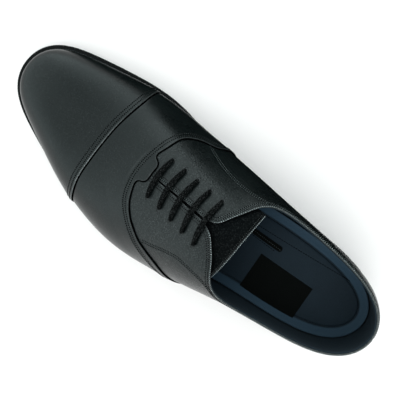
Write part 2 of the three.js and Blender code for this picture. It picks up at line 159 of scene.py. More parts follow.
# Lines on the upper: share of the length, and how far over, from the outer welt (0) past the
# ridge (1) to the inner welt (2)
CAP_EDGE = (
    (0.718, 0), (0.724, 0.25), (0.7316, 0.5), (0.736, 0.65), (0.734, 0.8), (0.7295, 0.94),
    (0.7262, 1.02), (0.7222, 1.11), (0.713, 1.26), (0.7034, 1.45), (0.696, 1.75), (0.690, 2),
)
VAMP_EDGE = (
    (0.372, 0), (0.396, 0.2), (0.424, 0.33), (0.4556, 0.45), (0.4764, 0.517), (0.4974, 0.56),
    (0.5183, 0.597), (0.5418, 0.637), (0.5601, 0.680), (0.5782, 0.723), (0.5911, 0.763),
    (0.6014, 0.803), (0.6091, 0.850), (0.6138, 0.890), (0.6150, 0.920), (0.6120, 0.9345),
    (0.6055, 0.9440), (0.5985, 0.9540), (0.5955, 0.9700), (0.5950, 1.0), (0.5938, 1.04),
    (0.5936, 1.068), (0.5960, 1.0860), (0.6015, 1.0990), (0.6065, 1.1090), (0.6085, 1.1220),
    (0.6080, 1.145), (0.6040, 1.18), (0.5963, 1.25), (0.5834, 1.36), (0.5653, 1.43),
    (0.5418, 1.493), (0.5157, 1.547), (0.497, 1.64), (0.474, 1.80), (0.440, 2),
)
VAMP_STITCH = (
    (0.386, 0), (0.410, 0.2), (0.437, 0.33), (0.470, 0.45), (0.5120, 0.55), (0.5440, 0.615),
    (0.5679, 0.673), (0.5885, 0.728), (0.604, 0.775), (0.6150, 0.825), (0.6215, 0.887),
    (0.6238, 0.947), (0.6228, 1.0), (0.6205, 1.05), (0.6142, 1.137), (0.604, 1.25),
    (0.5911, 1.347), (0.5782, 1.41), (0.5497, 1.505), (0.5262, 1.557), (0.503, 1.64),
    (0.481, 1.80), (0.448, 2),
)
FACING_OUTER = (
    (0.5340, 0.643), (0.5236, 0.650), (0.5052, 0.663), (0.4895, 0.677), (0.4712, 0.692),
    (0.4556, 0.701), (0.4373, 0.701), (0.4192, 0.690), (0.4012, 0.675), (0.380, 0.650),
    (0.356, 0.600), (0.336, 0.540),
)
FACING_INNER = (
    (0.5300, 1.525), (0.5180, 1.490), (0.5040, 1.465), (0.4843, 1.432), (0.4582, 1.408),
    (0.4244, 1.393), (0.3935, 1.398), (0.3681, 1.418), (0.3505, 1.442), (0.334, 1.472),
)

# Collar: share of the length, and how far the outer and the inner quarter climb
TOP_EDGE = (
    (0, 0.52, 0.52),
    (0.03, 0.505, 0.495),
    (0.07, 0.475, 0.465),
    (0.14, 0.44, 0.435),
    (0.21, 0.425, 0.425),
    (0.29, 0.455, 0.46),
    (0.335, 0.56, 0.545),
    (0.364, 0.71, 0.675),
    (0.386, 0.86, 0.81),
    (0.409, 0.955, 0.925),
    (0.429, 1, 1),
)
SLIT_START = 0.596
SLIT_HALF_FRONT = 0.00035
SLIT_HALF_REAR = 0.00115
SLIT_TAPER = 12


def clamp(value, low, high):
    """The value, held between two limits."""
    return min(high, max(low, value))


def mix(a, b, share):
    """A value part of the way from a to b."""
    return a + (b - a) * share


def smoother(u):
    """Eases from 0 to 1 with flat ends."""
    return u * u * u * (10 - 15 * u + 6 * u * u)


def cubic(xs, ys):
    """Natural cubic curve through the points of two columns."""
    count = len(xs)
    second = [0.0] * count
    work = [0.0] * count
    for i in range(1, count - 1):
        ratio = (xs[i] - xs[i - 1]) / (xs[i + 1] - xs[i - 1])
        pivot = ratio * second[i - 1] + 2
        right = (ys[i + 1] - ys[i]) / (xs[i + 1] - xs[i])
        left = (ys[i] - ys[i - 1]) / (xs[i] - xs[i - 1])
        second[i] = (ratio - 1) / pivot
        work[i] = (6 * (right - left) / (xs[i + 1] - xs[i - 1]) - ratio * work[i - 1]) / pivot
    for i in range(count - 2, -1, -1):
        second[i] = second[i] * second[i + 1] + work[i]

    def curve(x):
        k = min(max(bisect_right(xs, x) - 1, 0), count - 2)
        step = xs[k + 1] - xs[k]
        a = (xs[k + 1] - x) / step
        b = 1 - a
        bend = ((a ** 3 - a) * second[k] + (b ** 3 - b) * second[k + 1]) * step * step / 6
        return a * ys[k] + b * ys[k + 1] + bend
    return curve


def turn_of(at):
    """Turn round the plan, 0 at the heel and pi at the toe, for a share of the length."""
    return math.acos(1 - 2 * clamp(at, 0, 1))


def share_of(turn):
    """Share of the length at a turn."""
    return (1 - math.cos(turn)) / 2


def local_width(at):
    """Width that the plan's shares are taken of."""
    return mix(HEEL_WIDTH, BALL_WIDTH, smoother(clamp((at - WIDENING_START) / WIDENING_RUN, 0, 1)))


def plan_curve():
    """Side position of the sole edge as a closed curve over the turn."""
    turns = [0.0]
    sides = [0.0]
    for at, outer, inner in PLAN:
        turns.append(turn_of(at))
        sides.append(outer * local_width(at))
    turns.append(math.pi)
    sides.append(TOE_TIP_SIDE * BALL_WIDTH)
    for at, outer, inner in reversed(PLAN):
        turns.append(2 * math.pi - turn_of(at))
        sides.append(-inner * local_width(at))
    wrap = 8
    before = [turn - 2 * math.pi for turn in turns[-wrap:]]
    after = [turn + 2 * math.pi for turn in turns[:wrap]]
    return cubic(before + turns + after, sides[-wrap:] + sides + sides[:wrap])


plan_side = plan_curve()
SECTION = {
    name: cubic([row[0] for row in SECTIONS], [row[i + 1] for row in SECTIONS])
    for i, name in enumerate(SECTION_COLUMNS)
}


def sole_bottom(x):
    """Height of the outsole's underside: heel seat, arch, flat tread, toe spring."""
    at = x / LENGTH
    arch = clamp((at - ARCH_START) / ARCH_RUN, 0, 1)
    lift = max(0, (at - SPRING_START) / (1 - SPRING_START))
    return HEEL_HEIGHT * (1 - smoother(arch)) + TOE_SPRING * lift ** SPRING_POWER


def plan_point(turn, inset):
    """Point of the plan, moved inwards square to the edge, and the outward direction there."""
    tiny = 1e-3
    x = LENGTH * share_of(turn)
    y = plan_side(turn)
    dx = LENGTH * (share_of(turn + tiny) - share_of(turn - tiny))
    dy = plan_side(turn + tiny) - plan_side(turn - tiny)
    size = math.hypot(dx, dy)
    out = (-dy / size, dx / size)
    return x - out[0] * inset, y - out[1] * inset, out


def fanned(from_end, pole):
    """Stations near an end draw together into a pole on the ridge."""
    start = 2 * pole - FAN_REST
    if from_end >= start:
        return from_end
    width = start - FAN_REST
    u = min(1, (start - from_end) / width)
    return start - width * (u - u * u / 2)


def spine_share(at):
    """Share of the length of the ridge point that belongs to a station."""
    return fanned(at, FAN_HEEL) if at < 0.5 else 1 - fanned(1 - at, FAN_TOE)


def spine_point(turn):
    """Point of the ridge in plan."""
    at = spine_share(share_of(turn))
    return at * LENGTH, SECTION["ridge"](at) * BALL_WIDTH


def roof_height(x):
    """Height of the ridge."""
    return sole_bottom(x) + FEATHER_HEIGHT + SECTION["rise"](x / LENGTH) * INSTEP_RISE


def feather_inset(turn):
    """Inset of the upper's foot from the sole edge."""
    return SECTION["feather"](share_of(turn)) * BALL_WIDTH


def section_frame(turn, grow):
    """Foot, widest point, heights, fullness and ridge of the section at a turn."""
    at = share_of(turn)
    foot_x, foot_y, out = plan_point(turn, feather_inset(turn) - grow)
    side = "outer" if turn < math.pi else "inner"
    bulge = SECTION["bulge_" + side](at) * BALL_WIDTH
    wide = (foot_x + out[0] * bulge, foot_y + out[1] * bulge)
    low = sole_bottom(foot_x) + FEATHER_HEIGHT
    high = SECTION["high"](at) * INSTEP_RISE
    return (foot_x, foot_y), wide, low, high, SECTION["full_" + side](at), spine_point(turn)


def upper_point(turn, climb, grow):
    """Outer face of the upper: turn round the plan, climb from the welt (0) to the ridge (1)."""
    foot, wide, low, high, full, spine = section_frame(turn, grow)
    if climb < LOWER_ARC:
        share = climb / LOWER_ARC
        out = math.sin(share * math.pi / 2)
        return Vector((mix(foot[0], wide[0], out), mix(foot[1], wide[1], out), low + high * share))
    angle = (climb - LOWER_ARC) / (1 - LOWER_ARC) * math.pi / 2
    across = max(0, math.cos(angle)) ** (2 / full)
    up = math.sin(angle) ** (2 / full)
    if climb >= 1:
        across, up = 0, 1
    x = mix(spine[0], wide[0], across)
    y = mix(spine[1], wide[1], across)
    return Vector((x, y, mix(low + high, roof_height(x) + grow, up)))


def skin(around, over, grow=0.0):
    """Point of the upper: around from heel (0) to toe (pi), over from outer (0) to inner (2)."""
    around = clamp(around, 0, math.pi)
    if over <= 1:
        return upper_point(around, max(0, over), grow) - ORIGIN
    return upper_point(2 * math.pi - around, max(0, 2 - over), grow) - ORIGIN


def climb_beside(turn, distance):
    """Climb at which a point lies a given distance beside the ridge."""
    _, wide, _, _, full, spine = section_frame(turn, 0)
    reach = math.hypot(wide[0] - spine[0], wide[1] - spine[1])
    angle = math.acos(clamp(distance / reach, 0, 1) ** (full / 2))
    return LOWER_ARC + (1 - LOWER_ARC) * angle / (math.pi / 2)


def tangents(around, over):
    """How the surface moves with around and with over."""
    tiny = 2e-3
    a0, a1 = max(0, around - tiny), min(math.pi, around + tiny)
    o0, o1 = max(0, over - tiny), min(2, over + tiny)
    along = (skin(a1, over) - skin(a0, over)) / (a1 - a0)
    upward = (skin(around, o1) - skin(around, o0)) / (o1 - o0)
    return along, upward


def normal_at(around, over):
    """Outward direction of the upper."""
    along, upward = tangents(around, over)
    return upward.cross(along).normalized()


def shifted(around, over, move):
    """Place on the upper that lies a short move away."""
    along, upward = tangents(around, over)
    aa, ab, bb = along.dot(along), along.dot(upward), upward.dot(upward)
    ma, mb = move.dot(along), move.dot(upward)
    det = aa * bb - ab * ab
    return around + (ma * bb - mb * ab) / det, over + (mb * aa - ma * ab) / det


# Lines on the upper: lists of places (around, over)
def running_lengths(points):
    """Length of a run of points up to each of them."""
    lengths = [0.0]
    for before, after in zip(points, points[1:]):
        lengths.append(lengths[-1] + (after - before).length)
    return lengths


def step_at(lengths, want):
    """Step of a run in which a length falls, and how far into that step."""
    k = min(max(bisect_right(lengths, want) - 1, 0), len(lengths) - 2)
    step = lengths[k + 1] - lengths[k]
    return k, (want - lengths[k]) / step if step > 0 else 0


def dense_line(rows, count=500):
    """Smooth line through table rows of share of the length and over."""
    knots = [(turn_of(at), over) for at, over in rows]
    lengths = [0.0]
    for before, after in zip(knots, knots[1:]):
        lengths.append(lengths[-1] + max(1e-5, (skin(*after) - skin(*before)).length))
    around = cubic(lengths, [knot[0] for knot in knots])
    over = cubic(lengths, [knot[1] for knot in knots])
    total = lengths[-1]
    return [(around(total * i / count), over(total * i / count)) for i in range(count + 1)]


def even_line(line, count):
    """The same line with evenly spaced places."""
    lengths = running_lengths([skin(*place) for place in line])
    result = []
    for i in range(count + 1):
        k, share = step_at(lengths, lengths[-1] * i / count)
        result.append(tuple(mix(a, b, share) for a, b in zip(line[k], line[k + 1])))
    return result


def hoop_line(rows, half_count):
    """A line over the whole upper, with its middle place on the ridge."""
    line = dense_line(rows)
    middle = min(range(len(line)), key=lambda i: abs(line[i][1] - 1))
    line[middle] = (line[middle][0], 1.0)
    outer = even_line(line[:middle + 1], half_count)
    inner = even_line(line[middle:], half_count)
    return outer + inner[1:]


def line_frames(line):
    """Point, direction, outward normal and left-hand side at each place of a line."""
    points = [skin(*place) for place in line]
    frames = []
    for i, place in enumerate(line):
        before = points[max(0, i - 1)]
        after = points[min(len(points) - 1, i + 1)]
        ahead = (after - before).normalized()
        out = normal_at(*place)
        frames.append((points[i], ahead, out, out.cross(ahead).normalized()))
    return frames


def beside(line, distance):
    """The line moved sideways over the surface."""
    moved = []
    for place, (_, _, _, side) in zip(line, line_frames(line)):
        around, over = shifted(*place, side * distance)
        if abs(place[1] - 1) < 1e-9:
            over = 1.0
        moved.append((clamp(around, 0, math.pi), clamp(over, 0, 2)))
    return moved


def between(first, last, share):
    """The line part of the way from one line to another."""
    return [(mix(a[0], b[0], share), mix(a[1], b[1], share)) for a, b in zip(first, last)]


def raised(line, grow):
    """Points over a line, at one distance from the last."""
    return [skin(around, over, grow) for around, over in line]


def patch(bottom, top, heel, front, across, up):
    """Places that fill four lines: rows from bottom to top, columns from heel to front."""
    rows = []
    for j in range(up + 1):
        s = j / up
        row = []
        for i in range(across + 1):
            k = i / across
            place = []
            for axis in (0, 1):
                value = mix(bottom[i][axis], top[i][axis], s) + mix(heel[j][axis], front[j][axis], k)
                value -= mix(
                    mix(bottom[0][axis], bottom[-1][axis], k), mix(top[0][axis], top[-1][axis], k), s,
                )
                place.append(value)
            row.append(tuple(place))
        rows.append(row)
    return rows


# Meshes
def tidy_mesh(obj):
    """Merges doubled points, drops faces without area and shades smooth up to a sharp edge."""
    bpy.ops.object.select_all(action="DESELECT")
    obj.select_set(True)
    bpy.context.view_layer.objects.active = obj
    bpy.ops.object.mode_set(mode="EDIT")
    bpy.ops.mesh.select_all(action="SELECT")
    bpy.ops.mesh.remove_doubles(threshold=2e-6)
    bpy.ops.mesh.dissolve_degenerate(threshold=1e-7)
    bpy.ops.object.mode_set(mode="OBJECT")
    bpy.ops.object.shade_smooth_by_angle(angle=math.radians(45))
    obj.select_set(False)


def mesh_object(name, points, faces):
    """A mesh object in the scene."""
    mesh = bpy.data.meshes.new(name)
    mesh.from_pydata(points, [], faces)
    obj = bpy.data.objects.new(name, mesh)
    bpy.context.collection.objects.link(obj)
    return obj


def new_piece(name, points, faces, stands_for=()):
    """A mesh piece that rides on the shoe."""
    obj = mesh_object(name, points, faces)
    tidy_mesh(obj)
    return carried(obj, stands_for)


def carried(obj, stands_for=()):
    """Makes a piece ride on the shoe and hides the solids that it stands for."""
    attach(obj, BODY)
    if stands_for:
        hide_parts(*stands_for)
    return obj


def shell_faces(rows, columns, flip, first_rim=True, last_rim=True):
    """Faces of a closed wall: an outside and an inside grid, joined along their borders."""
    inside = rows * columns

    def at(r, c, layer=0):
        return r * columns + c + layer * inside
    faces = []
    for r in range(rows - 1):
        for c in range(columns - 1):
            faces.append((at(r, c), at(r + 1, c), at(r + 1, c + 1), at(r, c + 1)))
            faces.append((at(r, c, 1), at(r, c + 1, 1), at(r + 1, c + 1, 1), at(r + 1, c, 1)))
    last, end = rows - 1, columns - 1
    for c in range(columns - 1):
        if first_rim:
            faces.append((at(0, c), at(0, c + 1), at(0, c + 1, 1), at(0, c, 1)))
        if last_rim:
            faces.append((at(last, c + 1), at(last, c), at(last, c, 1), at(last, c + 1, 1)))
    for r in range(rows - 1):
        faces.append((at(r + 1, 0), at(r, 0), at(r, 0, 1), at(r + 1, 0, 1)))
        faces.append((at(r, end), at(r + 1, end), at(r + 1, end, 1), at(r, end, 1)))
    return [tuple(reversed(face)) for face in faces] if flip else faces


def shell(name, outside, inside, slot, flip=False, stands_for=(), **rims):
    """A wall piece from two grids of points with the same rows and columns."""
    points = [point for row in outside for point in row] + [point for row in inside for point in row]
    faces = shell_faces(len(outside), len(outside[0]), flip, **rims)
    return new_piece(name, points, faces, stands_for)


def ring_faces(rings, sides):
    """Faces between closed rings of points."""
    faces = []
    for r in range(rings - 1):
        for s in range(sides):
            a, b = r * sides + s, r * sides + (s + 1) % sides
            faces.append((a, a + sides, b + sides, b))
    return faces


def tube_faces(rings, sides, flip=True):
    """Faces of a tube of rings, with one face over each end."""
    faces = []
    for a, d, c, b in ring_faces(rings, sides):
        faces.append((a, b, c, d))
    faces.append(tuple(reversed(range(sides))))
    faces.append(tuple(range((rings - 1) * sides, rings * sides)))
    return [tuple(reversed(face)) for face in faces] if flip else faces


def rolled(distance, thickness):
    """How far a folded edge of a given thickness has rolled in, at a distance from its end."""
    radius = thickness / 2
    if distance >= radius:
        return 0.0
    return radius - math.sqrt(max(0, radius ** 2 - (radius - distance) ** 2))


ROLL_STEPS = (1.0, 0.75, 0.55, 0.38, 0.24, 0.13, 0.05, 0.0)
SEAM_REACH = 6 * MM
SEAM_FAR = 9.0
FOLD_SPLIT = 4
SHADOW_CORD_SIDES = 8


def tree_of(points):
    """Search tree of a run of points."""
    tree = KDTree(len(points))
    for i, point in enumerate(points):
        tree.insert(point, i)
    tree.balance()
    return tree


def seam_marks(obj, line, half_gap, name="seam"):
    """Stores how far each point lies from the middle of a double row of stitches, in half gaps."""
    frames = line_frames(line)
    tree = tree_of([frame[0] for frame in frames])
    values = []
    for vertex in obj.data.vertices:
        point, i, distance = tree.find(vertex.co)
        away = (vertex.co - point).dot(frames[i][3])
        values.append(away / half_gap if distance < SEAM_REACH else math.copysign(SEAM_FAR, away))
    marked(obj, name, values)
    marked(obj, name + "_sewn", [1.0] * len(values))


def marked(obj, name, values):
    """Stores one number for each point of a piece."""
    attribute = obj.data.attributes.new(name, "FLOAT", "POINT")
    attribute.data.foreach_set("value", values)


def fold_marks(obj, line, grow, strength, width=1.1 * MM):
    """Marks the folded edge of a panel: strongest on the fold, 0 beyond its width. The mark pales the leather
    there, part wear and part painted highlight.
    """
    points = raised(line, grow)
    count = FOLD_SPLIT * (len(points) - 1)
    tree = tree_of([
        points[i // FOLD_SPLIT].lerp(points[i // FOLD_SPLIT + 1], i % FOLD_SPLIT / FOLD_SPLIT)
        for i in range(count)
    ])
    values = []
    for vertex in obj.data.vertices:
        _, i, distance = tree.find(vertex.co)
        worn_and_lit = strength(line[i // FOLD_SPLIT][1])
        values.append(worn_and_lit * (1 - smoother(clamp(distance / width, 0, 1))))
    marked(obj, "fold", values)


def binding(name, line, aside, grow):
    """Black cord in the corner behind a folded edge, a dark thing standing for the shadow there: painted
    shadow.
    """
    frames = line_frames(beside(line, aside))
    points = []
    for point, _, out, side in frames:
        centre = point + out * grow
        for s in range(SHADOW_CORD_SIDES):
            angle = 2 * math.pi * s / SHADOW_CORD_SIDES
            points.append(centre + (side * math.cos(angle) + out * math.sin(angle)) * SHADOW_CORD_RADIUS)
    return new_piece(name, points, tube_faces(len(frames), SHADOW_CORD_SIDES))


# Sewing
def sizes():
    """The sizes that the user may change."""
    return bpy.context.scene.shoe_sizes


def taken_form(obj):
    """Points and faces of a modelled form, which is then removed."""
    points = [vertex.co.copy() for vertex in obj.data.vertices]
    faces = [tuple(polygon.vertices) for polygon in obj.data.polygons]
    bpy.data.objects.remove(obj, do_unlink=True)
    return points, faces


def stitch_form(length, thickness):
    """Points and faces of one stitch, lying along X, modelled once."""
    bpy.ops.object.select_all(action="DESELECT")
    bpy.ops.mesh.primitive_uv_sphere_add(segments=6, ring_count=5, radius=0.5)
    obj = bpy.context.object
    bpy.ops.object.mode_set(mode="EDIT")
    bpy.ops.mesh.select_all(action="SELECT")
    bpy.ops.transform.rotate(value=math.pi / 2, orient_axis="Y", center_override=(0, 0, 0))
    bpy.ops.transform.resize(value=(length, thickness, thickness))
    bpy.ops.object.mode_set(mode="OBJECT")
    return taken_form(obj)


def sew(name, places, length=None, thickness=None):
    """One piece with a stitch at each place: point, direction and outward normal."""
    length = length or sizes().stitch_length
    thickness = thickness or sizes().thread
    form, form_faces = stitch_form(length, thickness)
    points, faces = [], []
    for point, ahead, out in places:
        side = out.cross(ahead).normalized()
        up = ahead.cross(side)
        start = len(points)
        for p in form:
            bow = -0.25 * thickness * (2 * p.x / length) ** 2
            points.append(point + ahead * p.x + side * p.y + up * (p.z + bow))
        faces.extend(tuple(start + i for i in face) for face in form_faces)
    obj = mesh_object(name, points, faces)
    for polygon in obj.data.polygons:
        polygon.use_smooth = True
    return carried(obj)


def stitch_places(line, grow, pitch=None, start=0.0, slant=0.0):
    """Places for a row of stitches along a line of the upper."""
    pitch = pitch or sizes().stitch_pitch
    frames = line_frames(line)
    lengths = running_lengths([frame[0] for frame in frames])
    count = max(1, int((lengths[-1] - start) / pitch))
    places = []
    for i in range(count):
        k, share = step_at(lengths, start + (i + 0.5) * pitch)
        point = frames[k][0].lerp(frames[k + 1][0], share)
        out = frames[k][2]
        ahead = Matrix.Rotation(slant, 3, out) @ frames[k][1]
        places.append((point + out * grow(share_of(line[k][0])), ahead, out))
    return places


def sewn_row(line, grow, slant=0.0):
    """Places of the stitches of one row, and of the holes between them."""
    pitch = sizes().stitch_pitch
    stitches = stitch_places(line, grow, pitch, 0.0, slant)
    holes = stitch_places(line, grow, pitch, pitch / 2, slant)
    return stitches, holes


def sew_rows(name, rows):
    """Stitches and needle holes of several rows, as two joined pieces; the holes are black beads of painted
    shade.
    """
    stitches = [place for row in rows for place in row[0]]
    holes = [place for row in rows for place in row[1]]
    hole = sizes().needle_hole
    sew(name + "_stitches", stitches)
    sew(name + "_holes", holes, length=hole, thickness=hole * HOLE_FLATNESS)


# Overlap of the panels
STEP = 1.0 * MM
CAP_FADE = 36 * MM
VAMP_FADE = 25 * MM
PANEL_THICK = 0.9 * MM
QUARTER_THICK = 1.2 * MM
CAP_ROWS = (2.0 * MM, 4.4 * MM)
VAMP_GAP = 1.05 * MM
HOOP_HALF = 110
EDGE_PITCH = 1.5 * MM
SHADOW_CORD_RADIUS = 0.6 * MM
GUTTER_DEPTH = 0.4 * MM
GUTTER_WIDTH = 0.9 * MM
HOLE_FLATNESS = 0.8

# Rows of points of the cap and the vamp, in millimetres from the cap's edge or the vamp's seam
CAP_BANDS = (7, 6, 5.2, 4.8, 4.4, 4.0, 3.2, 2.4, 2.0, 1.6)
CAP_COLUMNS = 64
CAP_GUTTER_BANDS = (5, 2.5, 1, 0.4, 0, -0.35, -0.7, -1.1, -1.6, -2.3, -3.5)
VAMP_BANDS = (4.2, 3.4, 2.6, 2.1, 1.6, 1.05, 0.5, 0.0, -0.5)
VAMP_COLUMNS = 42
SEAM_TO_FOLD = 2.2
BEFORE_FOLD = 1.6

# First row of the vamp's rolled fold, in panel thicknesses from its edge
FOLD_START = 1.6


def overlap(distance, fade):
    """Height of an overlapping panel at a distance from its edge."""
    return STEP * max(0.0, 1 - distance / fade) ** 1.5


def cap_panel(line):
    """The cap's panel, from the toe back to its rolled rear edge."""
    toe = [(math.pi, place[1]) for place in line]
    bands = [*[band * MM for band in CAP_BANDS], *[share * PANEL_THICK for share in ROLL_STEPS]]
    first_band = beside(line, bands[0])
    rows = [(between(toe, first_band, i / CAP_COLUMNS), None) for i in range(CAP_COLUMNS)]
    rows.extend((beside(line, distance), distance) for distance in bands)
    middle = len(line) // 2
    outside, inside = [], []
    for places, distance in rows:
        if distance is None:
            top = overlap((skin(*places[middle]) - skin(*line[middle])).length, CAP_FADE)
            drop = 0.0
        else:
            top = overlap(distance, CAP_FADE)
            drop = rolled(distance, PANEL_THICK)
        outside.append(raised(places, top - drop))
        inside.append(raised(places, top - PANEL_THICK + drop))
    return shell(
        "toe_cap", outside, inside, "upper_leather", first_rim=False, last_rim=False, stands_for=("upper",),
    )


def cap_wear_and_highlight(over):
    """The cap's fold is palest on the outer side of the ridge, part wear and part painted highlight of the
    light from that side.
    """
    return mix(0.25, 1.0, smoother(clamp(1 - abs(over - 0.78) / 0.55, 0, 1)))


def toe_cap():
    """Toe cap, from the toe back to its folded edge."""
    line = hoop_line(CAP_EDGE, HOOP_HALF)
    obj = cap_panel(line)
    middle = sum(CAP_ROWS) / 2
    # The cap's fold is paled: part wear, part painted highlight.
    fold_marks(obj, line, STEP - PANEL_THICK / 2, cap_wear_and_highlight, 1.0 * MM)
    # Painted shadow: a black cord behind the cap's folded edge.
    binding("cap_binding", line, -0.4 * MM, -0.1 * MM)
    seam_marks(obj, beside(line, middle), (CAP_ROWS[1] - CAP_ROWS[0]) / 2)
    rows = []
    for distance in CAP_ROWS:
        row = beside(line, distance)
        height = overlap(distance, CAP_FADE)
        rows.append(sewn_row(row[2:-2], lambda at, height=height: height))
    sew_rows("cap", rows)


def vamp_rows(line, stitch, cap_line):
    """Rows of places from under the cap to the rolled fold, and how far some lie from the fold."""
    edge_away = [share * PANEL_THICK for share in (FOLD_START, *ROLL_STEPS)]
    edge_bands = [beside(line, away) for away in edge_away]
    rows = [(beside(cap_line, distance * MM), None) for distance in CAP_GUTTER_BANDS]
    behind = rows.pop()[0]
    ahead = beside(stitch, VAMP_BANDS[0] * MM)
    for i in range(VAMP_COLUMNS):
        rows.append((between(behind, ahead, i / VAMP_COLUMNS), None))
    for offset in VAMP_BANDS:
        rows.append((beside(stitch, offset * MM), (offset + SEAM_TO_FOLD) * MM))
    rows.append((between(beside(stitch, VAMP_BANDS[-1] * MM), edge_bands[0], 0.5), BEFORE_FOLD * MM))
    rows.extend(zip(edge_bands, edge_away))
    return rows


def vamp():
    """Vamp, from under the cap back to its folded edge over the quarters."""
    line = hoop_line(VAMP_EDGE, HOOP_HALF)
    stitch = hoop_line(VAMP_STITCH, HOOP_HALF)
    cap_line = hoop_line(CAP_EDGE, HOOP_HALF)
    second = beside(stitch, 2 * VAMP_GAP)
    rows = vamp_rows(line, stitch, cap_line)
    outside, inside = [], []
    for places, away in rows:
        outside_row, inside_row = [], []
        for place, cap_place, edge_place in zip(places, cap_line, line):
            point = skin(*place)
            gap = away if away is not None else (point - skin(*edge_place)).length
            top = overlap(gap, VAMP_FADE)
            beyond = (point - skin(*cap_place)).length
            if place[0] > cap_place[0]:
                top -= max(GUTTER_DEPTH, min(0.45 * MM, 0.12 * beyond))
            else:
                top -= GUTTER_DEPTH * math.exp(-((beyond / GUTTER_WIDTH) ** 2))
            drop = rolled(away, PANEL_THICK) if away is not None else 0.0
            outside_row.append(skin(*place, top - drop))
            inside_row.append(skin(*place, top - PANEL_THICK + drop))
        outside.append(outside_row)
        inside.append(inside_row)
    obj = shell("vamp", outside, inside, "upper_leather", last_rim=False)
    middle = beside(stitch, VAMP_GAP)
    # The vamp's fold is paled faintly: part wear, part painted highlight.
    fold_marks(obj, line, STEP - PANEL_THICK / 2, lambda over: 0.12)
    # Painted shadow: a black cord behind the vamp's folded edge.
    binding("vamp_binding", line, -0.35 * MM, 0.3 * MM)
    seam_marks(obj, middle, VAMP_GAP)
    rows = [
        sewn_row(row[2:-2], lambda at: overlap(3 * MM, VAMP_FADE), slant=0.12) for row in (stitch, second)
    ]
    sew_rows("vamp", rows)
    whipped = beside(line, 0.55 * MM)
    sides = [whipped[2:int(0.42 * len(whipped))], whipped[int(0.62 * len(whipped)):-2]]
    places = []
    for part in sides:
        places += stitch_places(part, lambda at: STEP - 0.12 * MM, EDGE_PITCH, slant=0.5)
    sew("vamp_edge_stitches", places)


# Front of the collar, where it drops to the slit and runs under the vamp
COLLAR_FRONT = ((0.4035, 0.930, 0.905), (0.4165, 0.9665, 0.962))
COLLAR_CORNER = (0.4290, 0.982)
SLIT_PLACES = (0.442, 0.47, 0.50, 0.53, 0.56, 0.585)
RIDGE_PLACES = (SLIT_START, 0.62, 0.645)


def highest(at, side):
    """How high the quarter reaches at a share of the length, on one side."""
    turn = turn_of(at)
    opening = clamp((SLIT_START - at) / (SLIT_START - TOP_EDGE[-1][0]), 0, 1)
    half = mix(SLIT_HALF_FRONT, SLIT_HALF_REAR, opening) * min(1, opening * SLIT_TAPER)
    return climb_beside(turn if side == "outer" else 2 * math.pi - turn, half)


def top_line(side, count):
    """Line of the collar and the slit, from the heel to under the vamp."""
    column = 1 if side == "outer" else 2
    rows = [(row[0], row[column]) for row in (*TOP_EDGE[:-2], *COLLAR_FRONT)]
    rows.append((COLLAR_CORNER[0], min(COLLAR_CORNER[1], highest(COLLAR_CORNER[0], side))))
    rows += [(at, highest(at, side)) for at in SLIT_PLACES]
    rows += [(at, 1.0) for at in RIDGE_PLACES]
    if side == "inner":
        rows = [(at, 2 - over) for at, over in rows]
    return even_line(dense_line(rows), count)


def quarter_patch(side, top_grow, thickness, top_drop, front_reach, across=170, up=56):
    """Outside and inside points of a wall on one side, from the heel to under the vamp."""
    sign = 1 if side == "outer" else -1
    foot = 0.0 if side == "outer" else 2.0
    top = top_line(side, across)
    stitch = hoop_line(VAMP_STITCH, up)
    half = stitch[:up + 1] if side == "outer" else list(reversed(stitch[up:]))
    front = beside(half, front_reach if side == "outer" else -front_reach)
    front[-1] = (front[-1][0], 1.0)
    top_inside = beside(top, sign * (top_drop + thickness))
    reach = front[-1][0]
    scale = reach / top_inside[-1][0]
    top_inside = [(around * mix(1, scale, i / across), over) for i, (around, over) in enumerate(top_inside)]
    bottom = even_line([(front[0][0] * i / 200, foot) for i in range(201)], across)
    heel = [(0.0, mix(foot, top_inside[0][1], j / up)) for j in range(up + 1)]
    rows = patch(bottom, top_inside, heel, front, across, up)
    outside = [raised(row, top_grow) for row in rows]
    inside = [raised(row, top_grow - thickness) for row in rows]
    for share in ROLL_STEPS[1:]:
        distance = share * thickness
        row = beside(top, sign * (top_drop + distance))
        drop = rolled(distance, thickness)
        outside.append(raised(row, top_grow - drop))
        inside.append(raised(row, top_grow - thickness + drop))
    return outside, inside, top


COLLAR_ROWS = (2.0 * MM, 3.6 * MM)
COLLAR_ROWS_END = 0.425
COLLAR_EDGE_END = 0.432
SLIT_ROW = 1.8 * MM
SLIT_ROW_PLACES = (0.44, 0.588)
FACING_GAP = 0.8 * MM


